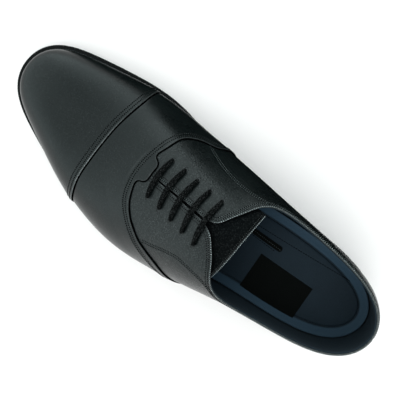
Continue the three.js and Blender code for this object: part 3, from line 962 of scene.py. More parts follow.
def quarter(side):
    """One quarter with its facing, from the heel seam to under the vamp."""
    sign = 1 if side == "outer" else -1
    outside, inside, top = quarter_patch(side, 0.0, QUARTER_THICK, 0.0, 6 * MM)
    obj = shell("quarter_" + side, outside, inside, "upper_leather", flip=side == "inner", last_rim=False)
    facing = even_line(dense_line(FACING_OUTER if side == "outer" else FACING_INNER), 120)
    collar_middle = beside(top, sign * sum(COLLAR_ROWS) / 2)
    seam_marks(obj, facing, FACING_GAP)
    seam_marks(obj, collar_middle, (COLLAR_ROWS[1] - COLLAR_ROWS[0]) / 2, "collar")
    # The collar's fold is paled: part wear, part painted highlight.
    fold_marks(obj, top, -QUARTER_THICK / 2, lambda over: 0.2)
    rows = []
    for distance in COLLAR_ROWS:
        row = beside(top, sign * distance)
        rows.append(sewn_row([place for place in row if place[0] < turn_of(COLLAR_ROWS_END)], lambda at: 0.0))
    first, last = [turn_of(at) for at in SLIT_ROW_PLACES]
    slit = [place for place in beside(top, sign * SLIT_ROW) if first < place[0] < last]
    rows.append(sewn_row(slit, lambda at: 0.0))
    for distance in (-FACING_GAP, FACING_GAP):
        rows.append(sewn_row(beside(facing, distance), lambda at: 0.0))
    sew_rows("quarter_" + side, rows)
    # Edge stitches, made light grey as a painted highlight.
    edge = [place for place in beside(top, sign * 0.5 * MM) if place[0] < turn_of(COLLAR_EDGE_END)]
    places = stitch_places(edge, lambda at: -0.08 * MM, EDGE_PITCH, slant=sign * 0.35)
    sew("edge_stitches_" + side, places)


# Inside of the shoe
LINING_THICK = 0.7 * MM
LINING_DROP = 0.45 * MM
CUP_WIDTH = 7.0 * MM
CUP_RISE = 3.0 * MM
# Where the painted light on the sock's turned-up edge starts to fade, and over what width.
CUP_LIGHT_START = 5.5 * MM
CUP_LIGHT_FADE = 1.5 * MM
SOCK_CLEAR = 0.35 * MM
SOCK_ROLL = 1.2 * MM
SOCK_STATIONS = 220
GROOVE_DEEP = 0.9 * MM
GROOVE_WIDE = 0.35 * MM

# Rings of points on the sock: millimetres from the wall, then shares of what is left to the middle
SOCK_RINGS = (0, 0.3, 0.8, 1.6, 2.6, 3.8, 5.0, 6.0, 6.5, 6.7, 6.9, 7.1, 7.3, 7.5, 8.0, 9.0)
SOCK_SHARES = (0.12, 0.26, 0.45, 0.7, 1.0)
TONGUE_FRONT = 0.57
TONGUE_TOP = 0.3535
TONGUE_SLANT = 0.0122
TONGUE_SIDE = 0.35
TONGUE_CLEARANCE = 0.0009
TONGUE_COLUMNS = 60
TONGUE_ROWS = 70


def lining(side):
    """Lining of one quarter, just below its folded top edge."""
    outside, inside = quarter_patch(
        side, -QUARTER_THICK - 0.03 * MM, LINING_THICK, LINING_DROP, 5 * MM, across=130, up=40,
    )[:2]
    return shell("lining_" + side, outside, inside, "lining", flip=side == "inner", last_rim=False)


def vamp_lining():
    """Lining of the front of the shoe."""
    line = hoop_line(VAMP_STITCH, 60)
    rear = beside(line, 2 * MM)
    toe = [(math.pi, place[1]) for place in line]
    rows = [between(toe, rear, i / 50) for i in range(51)]
    top = -WALL - 0.05 * MM
    outside = [raised(row, top) for row in rows]
    inside = [raised(row, top - 0.4 * MM) for row in rows]
    return shell("vamp_lining", outside, inside, "lining", first_rim=False)


def tongue_end(over):
    """Share of the length at which the tongue's top edge lies."""
    return TONGUE_TOP + TONGUE_SLANT * (1 - over) / TONGUE_SIDE


def tongue_line(distance):
    """Line along the tongue's top edge, at a distance from it."""
    overs = [1 + (TONGUE_SIDE - 0.01) * (2 * i / 120 - 1) for i in range(121)]
    return [(turn_of(tongue_end(over) + distance / LENGTH), over) for over in overs]


def tongue():
    """Tongue under the facings, with a straight top edge."""
    depth = WALL + TONGUE_CLEARANCE
    outside, inside = [], []

    def row(at_of, drop):
        overs = [1 + TONGUE_SIDE * (2 * i / TONGUE_COLUMNS - 1) for i in range(TONGUE_COLUMNS + 1)]
        places = [(turn_of(at_of(over)), over) for over in overs]
        outside.append(raised(places, -depth - drop))
        inside.append(raised(places, -depth - TONGUE_THICK + drop))

    for j in range(TONGUE_ROWS):
        row(
            lambda over: mix(TONGUE_FRONT, tongue_end(over) + TONGUE_THICK / LENGTH, j / TONGUE_ROWS),
            0.0,
        )
    for share in ROLL_STEPS:
        distance = share * TONGUE_THICK
        row(lambda over: tongue_end(over) + distance / LENGTH, rolled(distance, TONGUE_THICK))
    obj = shell("tongue_leather", outside, inside, "tongue_leather", last_rim=False, stands_for=("tongue",))
    # The tongue's top edge is paled: part wear, part painted highlight.
    fold_marks(obj, tongue_line(0), -depth - TONGUE_THICK / 2, lambda over: 0.3, 1.4 * MM)
    sew_rows("tongue", [sewn_row(tongue_line(2.4 * MM), lambda at: -depth)])
    # Edge stitches, made light grey as a painted highlight.
    places = stitch_places(tongue_line(0.6 * MM), lambda at: -depth - 0.12 * MM, EDGE_PITCH)
    sew("edge_stitches_tongue", places)


def sock_height(x):
    """Height of the top of the insole's sock, before its edge turns up."""
    return sole_bottom(x) + FEATHER_HEIGHT + INSOLE_ABOVE_FEATHER


def sock_edge(turn):
    """Inset of the sock's edge from the sole edge."""
    return feather_inset(turn) + WALL + SOCK_CLEAR


def cup(distance):
    """How far the sock's edge has turned up at a distance from the wall."""
    return CUP_RISE * (1 - smoother(clamp(distance / CUP_WIDTH, 0, 1)))


def sock_groove(distance):
    """Groove between the sock and its turned-up edge."""
    return GROOVE_DEEP * math.exp(-(((distance - CUP_WIDTH) / GROOVE_WIDE) ** 2))


def cup_light(distance):
    """How much painted light a place on the sock gets: full on its turned-up edge, fading to none further in.
    """
    return 1 - smoother(clamp((distance - CUP_LIGHT_START) / CUP_LIGHT_FADE, 0, 1))


def sock_ring(share_of, height_of):
    """One ring of the footbed's points, each with its distance from the wall."""
    ring = []
    for i in range(SOCK_STATIONS):
        turn = 2 * math.pi * i / SOCK_STATIONS
        x, y = plan_point(turn, sock_edge(turn))[:2]
        spine = spine_point(turn)
        length = math.hypot(spine[0] - x, spine[1] - y)
        share = min(1.0, share_of(length))
        px, py = mix(x, spine[0], share), mix(y, spine[1], share)
        ring.append((Vector((px, py, height_of(px, share * length))) - ORIGIN, share * length))
    return ring


def footbed():
    """Insole with its blue sock, whose edge turns up against the lining."""
    def underside(x, distance):
        return sole_bottom(x) + OUTSOLE_THICK + GAP

    def sock(x, distance):
        return sock_height(x) + cup(distance)

    def sock_side(x, distance):
        return sock(x, distance) - rolled(distance, SOCK_ROLL) - sock_groove(distance)

    rings = [sock_ring(lambda length: 0, underside)]
    for distance in SOCK_RINGS:
        rings.append(sock_ring(lambda length: distance * MM / max(length, 1e-6), sock_side))
    for share in SOCK_SHARES:
        last = SOCK_RINGS[-1] * MM
        rings.append(sock_ring(lambda length: mix(min(1.0, last / max(length, 1e-6)), 1.0, share), sock))
    faces = ring_faces(len(rings), SOCK_STATIONS)
    middle = len(rings) * SOCK_STATIONS
    rings.append(sock_ring(lambda length: 1, underside))
    for s in range(SOCK_STATIONS):
        after = (s + 1) % SOCK_STATIONS
        faces.append((s, after, middle + after, middle + s))
    obj = mesh_object("footbed", [point for ring in rings for point, distance in ring], faces)
    # Marks how much painted light each point of the sock gets.
    marked(obj, "cup", [cup_light(distance) for ring in rings for point, distance in ring])
    tidy_mesh(obj)
    return carried(obj, ("insole",))


def on_sock(x, y, lift=0.0):
    """Point of the sock's top, from the shoe's own length and side."""
    return Vector((x, y, sock_height(x) + lift)) - ORIGIN


def sock_line(start, end, lift, count=80):
    """Evenly spaced points along a straight line on the sock."""
    return [
        on_sock(mix(start[0], end[0], i / count), mix(start[1], end[1], i / count), lift)
        for i in range(count + 1)
    ]


def places_on(points, pitch):
    """Stitch places along a run of points."""
    places = []
    left = pitch / 2
    for before, after in zip(points, points[1:]):
        length = (after - before).length
        ahead = (after - before).normalized()
        while left < length:
            places.append((before + ahead * left, ahead, UPWARD))
            left += pitch
        left -= length
    return places


LABEL = ((0.0875, 0.0008), (0.045, 0.0275))
STRIP = ((0.1015, -0.0093), (0.0772, -0.0087))
STRIP_WIDTH = 0.0034
SOCK_ROWS = (((0.135, -0.0118), (0.028, -0.0182)), ((0.1015, -0.0062), (0.0815, -0.0058)))
SOCK_PITCH = 1.9 * MM
STRIP_PITCH = 1.5 * MM


def draped(name, corner, far, lift, thickness, slot, rounding=0.0):
    """A thin rectangle that lies on the sock, with rolled edges and, if wanted, a round far end."""
    long, wide = 30, 18
    outside, inside = [], []
    for j in range(long + 1):
        row_out, row_in = [], []
        for i in range(wide + 1):
            u, v = eased(j / long), eased(i / wide)
            x, y = mix(corner[0], far[0], u), mix(corner[1], far[1], v)
            if rounding:
                into = clamp(1 - abs(x - far[0]) / rounding, 0, 1)
                middle = (corner[1] + far[1]) / 2
                y = middle + (y - middle) * math.sqrt(max(0.0, 1 - into * into))
            edge = min(
                abs(x - corner[0]), abs(x - far[0]), v * abs(far[1] - corner[1]),
                (1 - v) * abs(far[1] - corner[1]),
            )
            drop = rolled(edge, thickness)
            row_out.append(on_sock(x, y, lift + thickness - drop))
            row_in.append(on_sock(x, y, lift))
        outside.append(row_out)
        inside.append(row_in)
    return shell(name, outside, inside, slot, flip=True)


def eased(u):
    """Crowds the steps towards both ends."""
    return 0.5 - 0.5 * math.cos(math.pi * u)


def sock_details():
    """Stitched lines, plain black patch and stitched strip on the sock."""
    dark = []
    for start, end in SOCK_ROWS:
        dark += places_on(sock_line(start, end, 0.05 * MM), SOCK_PITCH)
    sew("sock_stitches", dark, 1.7 * MM, 0.5 * MM)
    draped("sock_patch", *LABEL, 0.02 * MM, 0.4 * MM, "tongue_leather")
    corner = (STRIP[0][0], STRIP[0][1] - STRIP_WIDTH / 2)
    far = (STRIP[1][0], STRIP[1][1] + STRIP_WIDTH / 2)
    draped("sock_strip", corner, far, 0.02 * MM, 0.9 * MM, "tongue_leather", STRIP_WIDTH / 2)
    light = places_on(sock_line(STRIP[0], (STRIP[1][0] + 0.0012, STRIP[1][1]), 0.95 * MM), STRIP_PITCH)
    sew("strip_stitches", light, 0.9 * MM, 0.35 * MM)


# Laces
BAR_COUNT = 5
BAR_FIRST = 0.573
BAR_LAST = 0.4345
BAR_INNER_REACH = 0.0172
BAR_OUTER_REACH_FIRST = 0.0138
BAR_OUTER_REACH_LAST = 0.0178
BAR_BOW = 0.0075
BAR_RINGS = 190
BAR_SIDES = 32
BAR_BEYOND = 0.55 * MM
BAR_LIFT = 0.12 * MM
BAR_END_DEPTH = -1.6 * MM
DIVE_START = 0.6 * MM
DIVE_LENGTH = 3.4 * MM
END_WIDTH = 0.35
END_HEIGHT = 0.6
BRAID_DEPTH = 0.26 * MM
BRAID_PITCH = 2.6 * MM
BRAID_STRANDS = 4
HOLE_RADIUS = 1.45 * MM
HOLE_LIP = 0.32 * MM
FUZZ_COUNT = 260
FUZZ_LENGTH = 1.1 * MM
FUZZ_THICK = 0.035 * MM


def bar_place(number, aside):
    """Place on the upper at a distance to one side of the ridge, along one bar."""
    share = number / (BAR_COUNT - 1)
    inner, outer = bar_reach(number)
    along = (2 * aside + inner - outer) / (inner + outer)
    bow = BAR_BOW * max(0.0, 1 - along * along)
    turn = turn_of(mix(BAR_FIRST, BAR_LAST, share) + bow)
    if aside >= 0:
        return turn, climb_beside(turn, aside)
    return turn, 2 - climb_beside(2 * math.pi - turn, -aside)


def bar_reach(number):
    """How far a bar reaches to the inner and to the outer side."""
    share = number / (BAR_COUNT - 1)
    return BAR_INNER_REACH, mix(BAR_OUTER_REACH_FIRST, BAR_OUTER_REACH_LAST, share)


def bar_course(number):
    """Middle line of one bar, which dives into the facing at both ends, and the ways out of it."""
    inner, outer = bar_reach(number)
    centres, outs = [], []
    for r in range(BAR_RINGS + 1):
        aside = mix(-inner - BAR_BEYOND, outer + BAR_BEYOND, r / BAR_RINGS)
        from_end = min(aside + inner, outer - aside)
        dive = smoother(clamp(1 - (from_end + DIVE_START) / DIVE_LENGTH, 0, 1))
        height = mix((sizes().lace_height / 2) + BAR_LIFT, BAR_END_DEPTH, dive)
        turn, over = bar_place(number, aside)
        centres.append(skin(turn, over, height))
        outs.append(normal_at(turn, over))
    return centres, outs


def braid_at(angle, run):
    """How far the strands stand out at an angle round the bar and a length along it."""
    along = 2 * math.pi * run / BRAID_PITCH
    first = math.sin(BRAID_STRANDS * angle + along)
    second = math.sin(BRAID_STRANDS * angle - along)
    return BRAID_DEPTH * (max(abs(first), abs(second)) - 0.85) * 1.6


def lace_bar(number, seed):
    """One bar of woven cord, and the roots of its loose fibres."""
    chance = random.Random(seed)
    wave = [chance.uniform(-1, 1) for _ in range(6)]
    centres, outs = bar_course(number)
    lengths = running_lengths(centres)
    points = []
    for r in range(BAR_RINGS + 1):
        before, after = centres[max(0, r - 1)], centres[min(BAR_RINGS, r + 1)]
        ahead = (after - before).normalized()
        side = outs[r].cross(ahead).normalized()
        up = ahead.cross(side)
        share = r / BAR_RINGS
        body = math.sin(math.pi * share) ** 0.6
        lumps = sum(w * math.sin((i + 2) * 2.1 * share * math.pi + 3 * w) for i, w in enumerate(wave))
        wide = (sizes().lace_width / 2) * mix(END_WIDTH, 1.0, body) * (1 + 0.03 * lumps)
        high = (sizes().lace_height / 2) * mix(END_HEIGHT, 1.0, body)
        for s in range(BAR_SIDES):
            angle = 2 * math.pi * s / BAR_SIDES
            braid = braid_at(angle, lengths[r])
            across = side * math.cos(angle) * (wide + braid)
            points.append(centres[r] + across + up * math.sin(angle) * (high + braid))
    faces = tube_faces(BAR_RINGS + 1, BAR_SIDES)
    new_piece(f"lace_{number + 1}", points, faces, (f"lace_bar_{number + 1}",))
    roots = []
    for _ in range(FUZZ_COUNT):
        r, s = chance.randrange(8, BAR_RINGS - 8), chance.randrange(0, BAR_SIDES // 2 + 1)
        point = points[r * BAR_SIDES + s]
        roots.append((point, (point - centres[r]).normalized()))
    return roots


def lace_fuzz(roots, seed):
    """Short loose fibres that stand off the laces."""
    chance = random.Random(seed)
    points, faces = [], []
    for root, out in roots:
        lean = Vector([chance.uniform(-1, 1) for _ in range(3)])
        side = out.cross(lean).normalized() * FUZZ_THICK
        reach = chance.uniform(0.35, 1.0) * FUZZ_LENGTH
        middle = root + (out + lean * 0.3).normalized() * reach * 0.55
        tip = middle + (out * 0.4 + lean).normalized() * reach * 0.45
        start = len(points)
        deep = out.cross(side).normalized() * FUZZ_THICK
        for place in (root - out * 0.15 * MM, middle):
            points.extend((place + side, place - side * 0.5 + deep, place - side * 0.5 - deep))
        points.append(tip)
        for s in range(3):
            a, b = start + s, start + (s + 1) % 3
            faces.append((a, b, b + 3, a + 3))
            faces.append((a + 3, b + 3, start + 6))
        faces.append((start + 2, start + 1, start))
    return new_piece("lace_fuzz", points, faces)


def lace_holes():
    """Raised lips of the punched holes that the bars dive into."""
    bpy.ops.object.select_all(action="DESELECT")
    bpy.ops.mesh.primitive_torus_add(
        major_radius=HOLE_RADIUS, minor_radius=HOLE_LIP, major_segments=28, minor_segments=8,
    )
    form_points, form_faces = taken_form(bpy.context.object)
    points, faces = [], []
    for number in range(BAR_COUNT):
        inner, outer = bar_reach(number)
        for aside in (-inner, outer):
            turn, over = bar_place(number, aside)
            out = normal_at(turn, over)
            turned = UPWARD.rotation_difference(out).to_matrix()
            centre = skin(turn, over, 0.02 * MM)
            start = len(points)
            for p in form_points:
                points.append(centre + turned @ Vector((p.x, p.y, p.z * 0.7)))
            faces.extend(tuple(start + i for i in face) for face in form_faces)
    return new_piece("lace_holes", points, faces)


# Bottom of the shoe
TURN_STEPS = 2000
SOLE_STATIONS = 420
WELT_CUT = 0.2 * MM
RIB_STATIONS = 6
WELT_ROW = 0.52

# Sole edge from the underside up: inset and height in millimetres
SOLE_EDGE = (
    (1.2, 0.0), (0.7, 0.05), (0.3, 0.25), (0.08, 0.6), (0.0, 1.0), (0.0, 3.4), (0.12, 3.55),
    (0.22, 3.7), (0.12, 3.85), (0.02, 4.0), (0.0, 4.4), (0.06, 4.75), (0.25, 4.95), (0.5, 5.0),
)
SOLE_SHARES = (1.0, 0.75, 0.5, 0.25, 0.08)


def even_turns(first, last, count):
    """Turns evenly spaced along the sole edge."""
    turns = [mix(first, last, i / TURN_STEPS) for i in range(TURN_STEPS + 1)]
    lengths = [0.0]
    for before, after in zip(turns, turns[1:]):
        x0, y0 = plan_point(before, 0)[:2]
        x1, y1 = plan_point(after, 0)[:2]
        lengths.append(lengths[-1] + math.hypot(x1 - x0, y1 - y0))
    result = []
    for i in range(count + 1):
        k, share = step_at(lengths, lengths[-1] * i / count)
        result.append(mix(turns[k], turns[k + 1], share))
    return result, lengths[-1]


def edge_ring(turns, inset_of, height_of):
    """Points round the plan at an inset and a height above the sole's underside."""
    ring = []
    for i, turn in enumerate(turns):
        x, y = plan_point(turn, inset_of(turn, i))[:2]
        ring.append(Vector((x, y, sole_bottom(x) + height_of(turn, i))) - ORIGIN)
    return ring


def face_ring(turns, share, inset, height):
    """Ring of points on the sole's under or upper face, a share of the way to its middle."""
    ring = []
    for turn in turns:
        x, y = plan_point(turn, inset)[:2]
        spine = spine_point(turn)
        px, py = mix(x, spine[0], share), mix(y, spine[1], share)
        ring.append(Vector((px, py, sole_bottom(px) + height)) - ORIGIN)
    return ring


def outsole():
    """Outsole with a bevelled, finely grooved edge."""
    turns = even_turns(0, 2 * math.pi, SOLE_STATIONS)[0][:-1]
    rings = [face_ring(turns, share, SOLE_EDGE[0][0] * MM, 0.0) for share in SOLE_SHARES]
    for inset, height in SOLE_EDGE:
        rings.append(edge_ring(turns, lambda turn, i: inset * MM, lambda turn, i: height * MM))
    for share in reversed(SOLE_SHARES):
        rings.append(face_ring(turns, share, SOLE_EDGE[-1][0] * MM, OUTSOLE_THICK))
    points = [point for ring in rings for point in ring]
    return new_piece("sole", points, ring_faces(len(rings), SOLE_STATIONS), ("outsole",))


def welt_strip(name, first, last, node):
    """Strip on top of the outsole with ribs pressed into its upper face."""
    length = even_turns(first, last, 10)[1]
    turns = even_turns(first, last, int(length / sizes().rib_pitch) * RIB_STATIONS)[0]
    low = OUTSOLE_THICK + GAP
    top = low + WELT_THICK

    def rib(i):
        return sizes().rib_depth * (0.5 - 0.5 * math.cos(2 * math.pi * i / RIB_STATIONS)) ** 2

    def inner(turn):
        return feather_inset(turn) + WALL

    def near_upper(turn):
        return feather_inset(turn) - WELT_CUT

    profile = (
        (lambda turn, i: 0.35 * MM, lambda turn, i: low),
        (lambda turn, i: 0.02 * MM, lambda turn, i: low + 0.35 * MM),
        (lambda turn, i: 0.0, lambda turn, i: low + 0.8 * MM),
        (lambda turn, i: 0.5 * rib(i), lambda turn, i: top - 0.75 * MM),
        (lambda turn, i: 0.12 * MM + 0.5 * rib(i), lambda turn, i: top - 0.3 * MM - rib(i)),
        (lambda turn, i: 0.4 * MM, lambda turn, i: top - 0.08 * MM - rib(i)),
        (lambda turn, i: 0.8 * MM, lambda turn, i: top - rib(i)),
        (lambda turn, i: mix(0.8 * MM, near_upper(turn), 0.5), lambda turn, i: top - rib(i)),
        (lambda turn, i: near_upper(turn), lambda turn, i: top - 0.3 * rib(i)),
        (lambda turn, i: inner(turn), lambda turn, i: top),
        (lambda turn, i: inner(turn), lambda turn, i: low),
    )
    rings = [edge_ring(turns, inset_of, height_of) for inset_of, height_of in profile]
    points = [ring[i] for i in range(len(turns)) for ring in rings]
    faces = tube_faces(len(turns), len(profile), flip=False)
    new_piece(name, points, faces, (node,))


def welts():
    """Welt round the forepart and rand round the heel seat, with the welt's stitches."""
    split = turn_of(SEAT_WELT_SPLIT)
    gap = GAP / (LENGTH * math.sin(split))
    first, last = split + gap, 2 * math.pi - split - gap
    welt_strip("welt_strip", first, last, "welt")
    welt_strip("rand_strip", -split + gap, split - gap, "heel_rand")
    height = OUTSOLE_THICK + GAP + WELT_THICK
    length = even_turns(first, last, RIB_STATIONS)[1]
    row = even_turns(first, last, int(length / sizes().rib_pitch))[0]
    places = []
    for before, after in zip(row, row[1:]):
        turn = (before + after) / 2
        inset = feather_inset(turn) * WELT_ROW
        x0, y0 = plan_point(turn - 0.002, inset)[:2]
        x1, y1 = plan_point(turn + 0.002, inset)[:2]
        x, y = (x0 + x1) / 2, (y0 + y1) / 2
        ahead = Vector((x1 - x0, y1 - y0, sole_bottom(x1) - sole_bottom(x0))).normalized()
        point = Vector((x, y, sole_bottom(x) + height - 0.05 * MM)) - ORIGIN
        places.append((point, ahead, UPWARD))
    sew("welt_stitches", places, 1.5 * MM, 0.6 * MM)


HEEL_INSET_TOP = 1.0 * MM
HEEL_INSET_FLOOR = 2.6 * MM
BREAST_HOLLOW = 3.0 * MM
LIFT_COUNT = 4

# Side of one lift: share of its height, and how deep it is cut in millimetres
LIFT_SIDE = ((0.0, 0.22), (0.05, 0.06), (0.1, 0.0), (0.9, 0.0), (0.95, 0.06), (1.0, 0.22))

# Side of the top piece: height and how deep it is cut, both in millimetres
TOP_PIECE_SIDE = (
    (0.0, 0.9), (0.1, 0.4), (0.35, 0.12), (0.8, 0.0), (5.4, 0.0), (5.8, 0.1), (6.0, 0.35),
)


def heel_ring(inset, height_of, stations=150, breast=40):
    """Ring round the heel that closes along its hollowed breast."""
    split = turn_of(SEAT_WELT_SPLIT)
    turns = even_turns(-split, split, stations)[0]
    arc = [plan_point(turn, inset)[:2] for turn in turns]
    first, last = arc[0], arc[-1]
    ring = list(arc)
    for i in range(1, breast):
        share = i / breast
        hollow = BREAST_HOLLOW * 4 * share * (1 - share)
        ring.append((mix(last[0], first[0], share) - hollow, mix(last[1], first[1], share)))
    return [Vector((x, y, height_of(x))) - ORIGIN for x, y in ring]


def heel_stack(name, rings, node):
    """A closed stack of heel rings, with one face over each end."""
    points = [point for ring in rings for point in ring]
    new_piece(name, points, tube_faces(len(rings), len(rings[0])), (node,))


def heel_inset(height):
    """Inset of the heel's side at a height above the floor."""
    return mix(HEEL_INSET_FLOOR, HEEL_INSET_TOP, height / HEEL_HEIGHT)


def heel():
    """Heel block built of lifts, and its rubber top piece."""
    low = TOP_PIECE_THICK + GAP
    rings = []
    for lift in range(LIFT_COUNT):
        for share, cut in LIFT_SIDE:
            level = (lift + share) / LIFT_COUNT
            height = mix(low, HEEL_HEIGHT - GAP, level)
            inset = heel_inset(height) + cut * MM

            def height_of(x, level=level, height=height):
                return height if level < 1 else sole_bottom(x) - GAP
            rings.append(heel_ring(inset, height_of))
    heel_stack("heel_lifts", rings, "heel_block")
    rings = []
    for height, cut in TOP_PIECE_SIDE:
        rings.append(heel_ring(heel_inset(height * MM) + cut * MM, lambda x, height=height: height * MM))
    heel_stack("heel_top_piece", rings, "top_piece")


# Finishes
def colours():
    """The colours that the user may change."""
    return bpy.context.scene.shoe_colours


def add(tree, kind, sockets=None, **settings):
    """Adds a shader node; a socket given as a value is linked."""
    made = tree.nodes.new(type=kind)
    for name, value in settings.items():
        setattr(made, name, value)
    for key, value in (sockets or {}).items():
        if isinstance(value, bpy.types.NodeSocket):
            tree.links.new(value, made.inputs[key])
        else:
            made.inputs[key].default_value = value
    return made


def calc(tree, operation, *values):
    """Adds a math node and gives its result."""
    made = add(tree, "ShaderNodeMath", dict(enumerate(values)), operation=operation)
    return made.outputs[0]


def ramp(tree, value, low, high, out_low=0.0, out_high=1.0):
    """A smooth step from one value to another."""
    made = add(
        tree, "ShaderNodeMapRange",
        {"Value": value, "From Min": low, "From Max": high, "To Min": out_low, "To Max": out_high},
        interpolation_type="SMOOTHSTEP",
    )
    return made.outputs[0]


def object_place(tree):
    """Place in the piece's own frame, for the textures."""
    return add(tree, "ShaderNodeTexCoord").outputs["Object"]


def noise(tree, place, scale, detail):
    """Adds a noise texture and gives its value."""
    return add(tree, "ShaderNodeTexNoise", {"Vector": place, "Scale": scale, "Detail": detail}).outputs[0]


def mark_of(tree, name):
    """Value of a mark that the points carry."""
    return add(tree, "ShaderNodeAttribute", attribute_name=name).outputs["Fac"]


def new_group(name, inputs, outputs):
    """An empty node group with its sockets."""
    tree = bpy.data.node_groups.new(name, "ShaderNodeTree")
    for label, value in inputs:
        socket = tree.interface.new_socket(name=label, in_out="INPUT", socket_type="NodeSocketFloat")
        socket.default_value = value
    for label in outputs:
        tree.interface.new_socket(name=label, in_out="OUTPUT", socket_type="NodeSocketFloat")
    return tree, tree.nodes.new("NodeGroupInput"), tree.nodes.new("NodeGroupOutput")


def grain_group():
    """Leather grain: pebbles and pores in Height, and their crests in Speck."""
    inputs = (("Scale", 1500.0), ("Pebble", 0.5))
    tree, given, result = new_group("Leather grain", inputs, ("Height", "Speck"))
    place = object_place(tree)
    cells = add(
        tree, "ShaderNodeTexVoronoi", {"Vector": place, "Scale": given.outputs["Scale"]},
        feature="SMOOTH_F1",
    )
    fine = noise(tree, place, given.outputs["Scale"], 2.0)
    broad = noise(tree, place, 160.0, 2.0)
    pebble = calc(tree, "MULTIPLY", cells.outputs["Distance"], given.outputs["Pebble"])
    rough = calc(tree, "MULTIPLY", fine, 1.2)
    height = calc(tree, "SUBTRACT", rough, pebble)
    height = calc(tree, "ADD", height, calc(tree, "MULTIPLY", broad, 0.6))
    tree.links.new(height, result.inputs["Height"])
    tree.links.new(ramp(tree, fine, 0.48, 0.72), result.inputs["Speck"])
    return tree


def seam_group():
    """Sewn double row: grooves under the stitches and a soft rise between them."""
    inputs = (("Mark", 0.0), ("Sewn", 0.0), ("Width", 0.28))
    tree, given, result = new_group("Sewn rows", inputs, ("Height", "Groove"))
    mark, marked = given.outputs["Mark"], given.outputs["Sewn"]
    off = calc(tree, "ABSOLUTE", calc(tree, "SUBTRACT", calc(tree, "ABSOLUTE", mark), 1.0))
    groove = ramp(tree, off, 0.0, given.outputs["Width"], 1.0, 0.0)
    groove = calc(tree, "MULTIPLY", groove, marked)
    tree.links.new(calc(tree, "MULTIPLY", groove, -1.0), result.inputs["Height"])
    tree.links.new(groove, result.inputs["Groove"])
    return tree


def wear_group():
    """Soft clouds of polish and dust."""
    tree, given, result = new_group("Polish and dust", (("Scale", 28.0),), ("Cloud", "Dust"))
    place = object_place(tree)
    cloud = noise(tree, place, given.outputs["Scale"], 4.0)
    motes = noise(tree, place, 1900.0, 2.0)
    tree.links.new(ramp(tree, cloud, 0.35, 0.65), result.inputs["Cloud"])
    tree.links.new(ramp(tree, motes, 0.66, 0.74), result.inputs["Dust"])
    return tree


def group_node(tree, group, **sockets):
    """Adds a shared node group to a material."""
    return add(tree, "ShaderNodeGroup", sockets, node_tree=group)


def sewn_rows(tree, group, name, width):
    """Adds the grooves of one double row, from the marks of that name."""
    return group_node(tree, group, Mark=mark_of(tree, name), Sewn=mark_of(tree, name + "_sewn"), Width=width)


def blend_colour(tree, share, first, second):
    """Mixes two colours."""
    made = add(tree, "ShaderNodeMix", data_type="RGBA")
    tree.links.new(share, made.inputs["Factor"])
    for socket, value in ((made.inputs[6], first), (made.inputs[7], second)):
        if isinstance(value, bpy.types.NodeSocket):
            tree.links.new(value, socket)
        else:
            socket.default_value = value
    return made.outputs[2]


def new_material(name, roughness, coat=0.0, coat_roughness=0.2, sheen=0.0, specular=0.5):
    """A material with a Principled shader, and its tree."""
    material = bpy.data.materials.new(name)
    material.use_nodes = True
    tree = material.node_tree
    shader = tree.nodes["Principled BSDF"]
    shader.inputs["Roughness"].default_value = roughness
    shader.inputs["Coat Weight"].default_value = coat
    shader.inputs["Coat Roughness"].default_value = coat_roughness
    shader.inputs["Sheen Weight"].default_value = sheen
    shader.inputs["Specular IOR Level"].default_value = specular
    return material, tree, shader


def plain_material(name, roughness, colour, specular=0.5):
    """A material of one flat colour."""
    material, _, shader = new_material(name, roughness, specular=specular)
    shader.inputs["Base Color"].default_value = colour
    return material


def paled(colour, factor, lift=0.0):
    """A colour made lighter or darker."""
    return tuple(min(1.0, value * factor + lift) for value in colour[:3]) + (1.0,)


def bump(tree, shader, heights):
    """Feeds heights, each with its depth in metres, to the shader's normal."""
    total = None
    for height, depth in heights:
        part = calc(tree, "MULTIPLY", height, depth)
        total = part if total is None else calc(tree, "ADD", total, part)
    made = add(tree, "ShaderNodeBump", {"Strength": 1.0, "Distance": 1.0, "Height": total})
    tree.links.new(made.outputs[0], shader.inputs["Normal"])


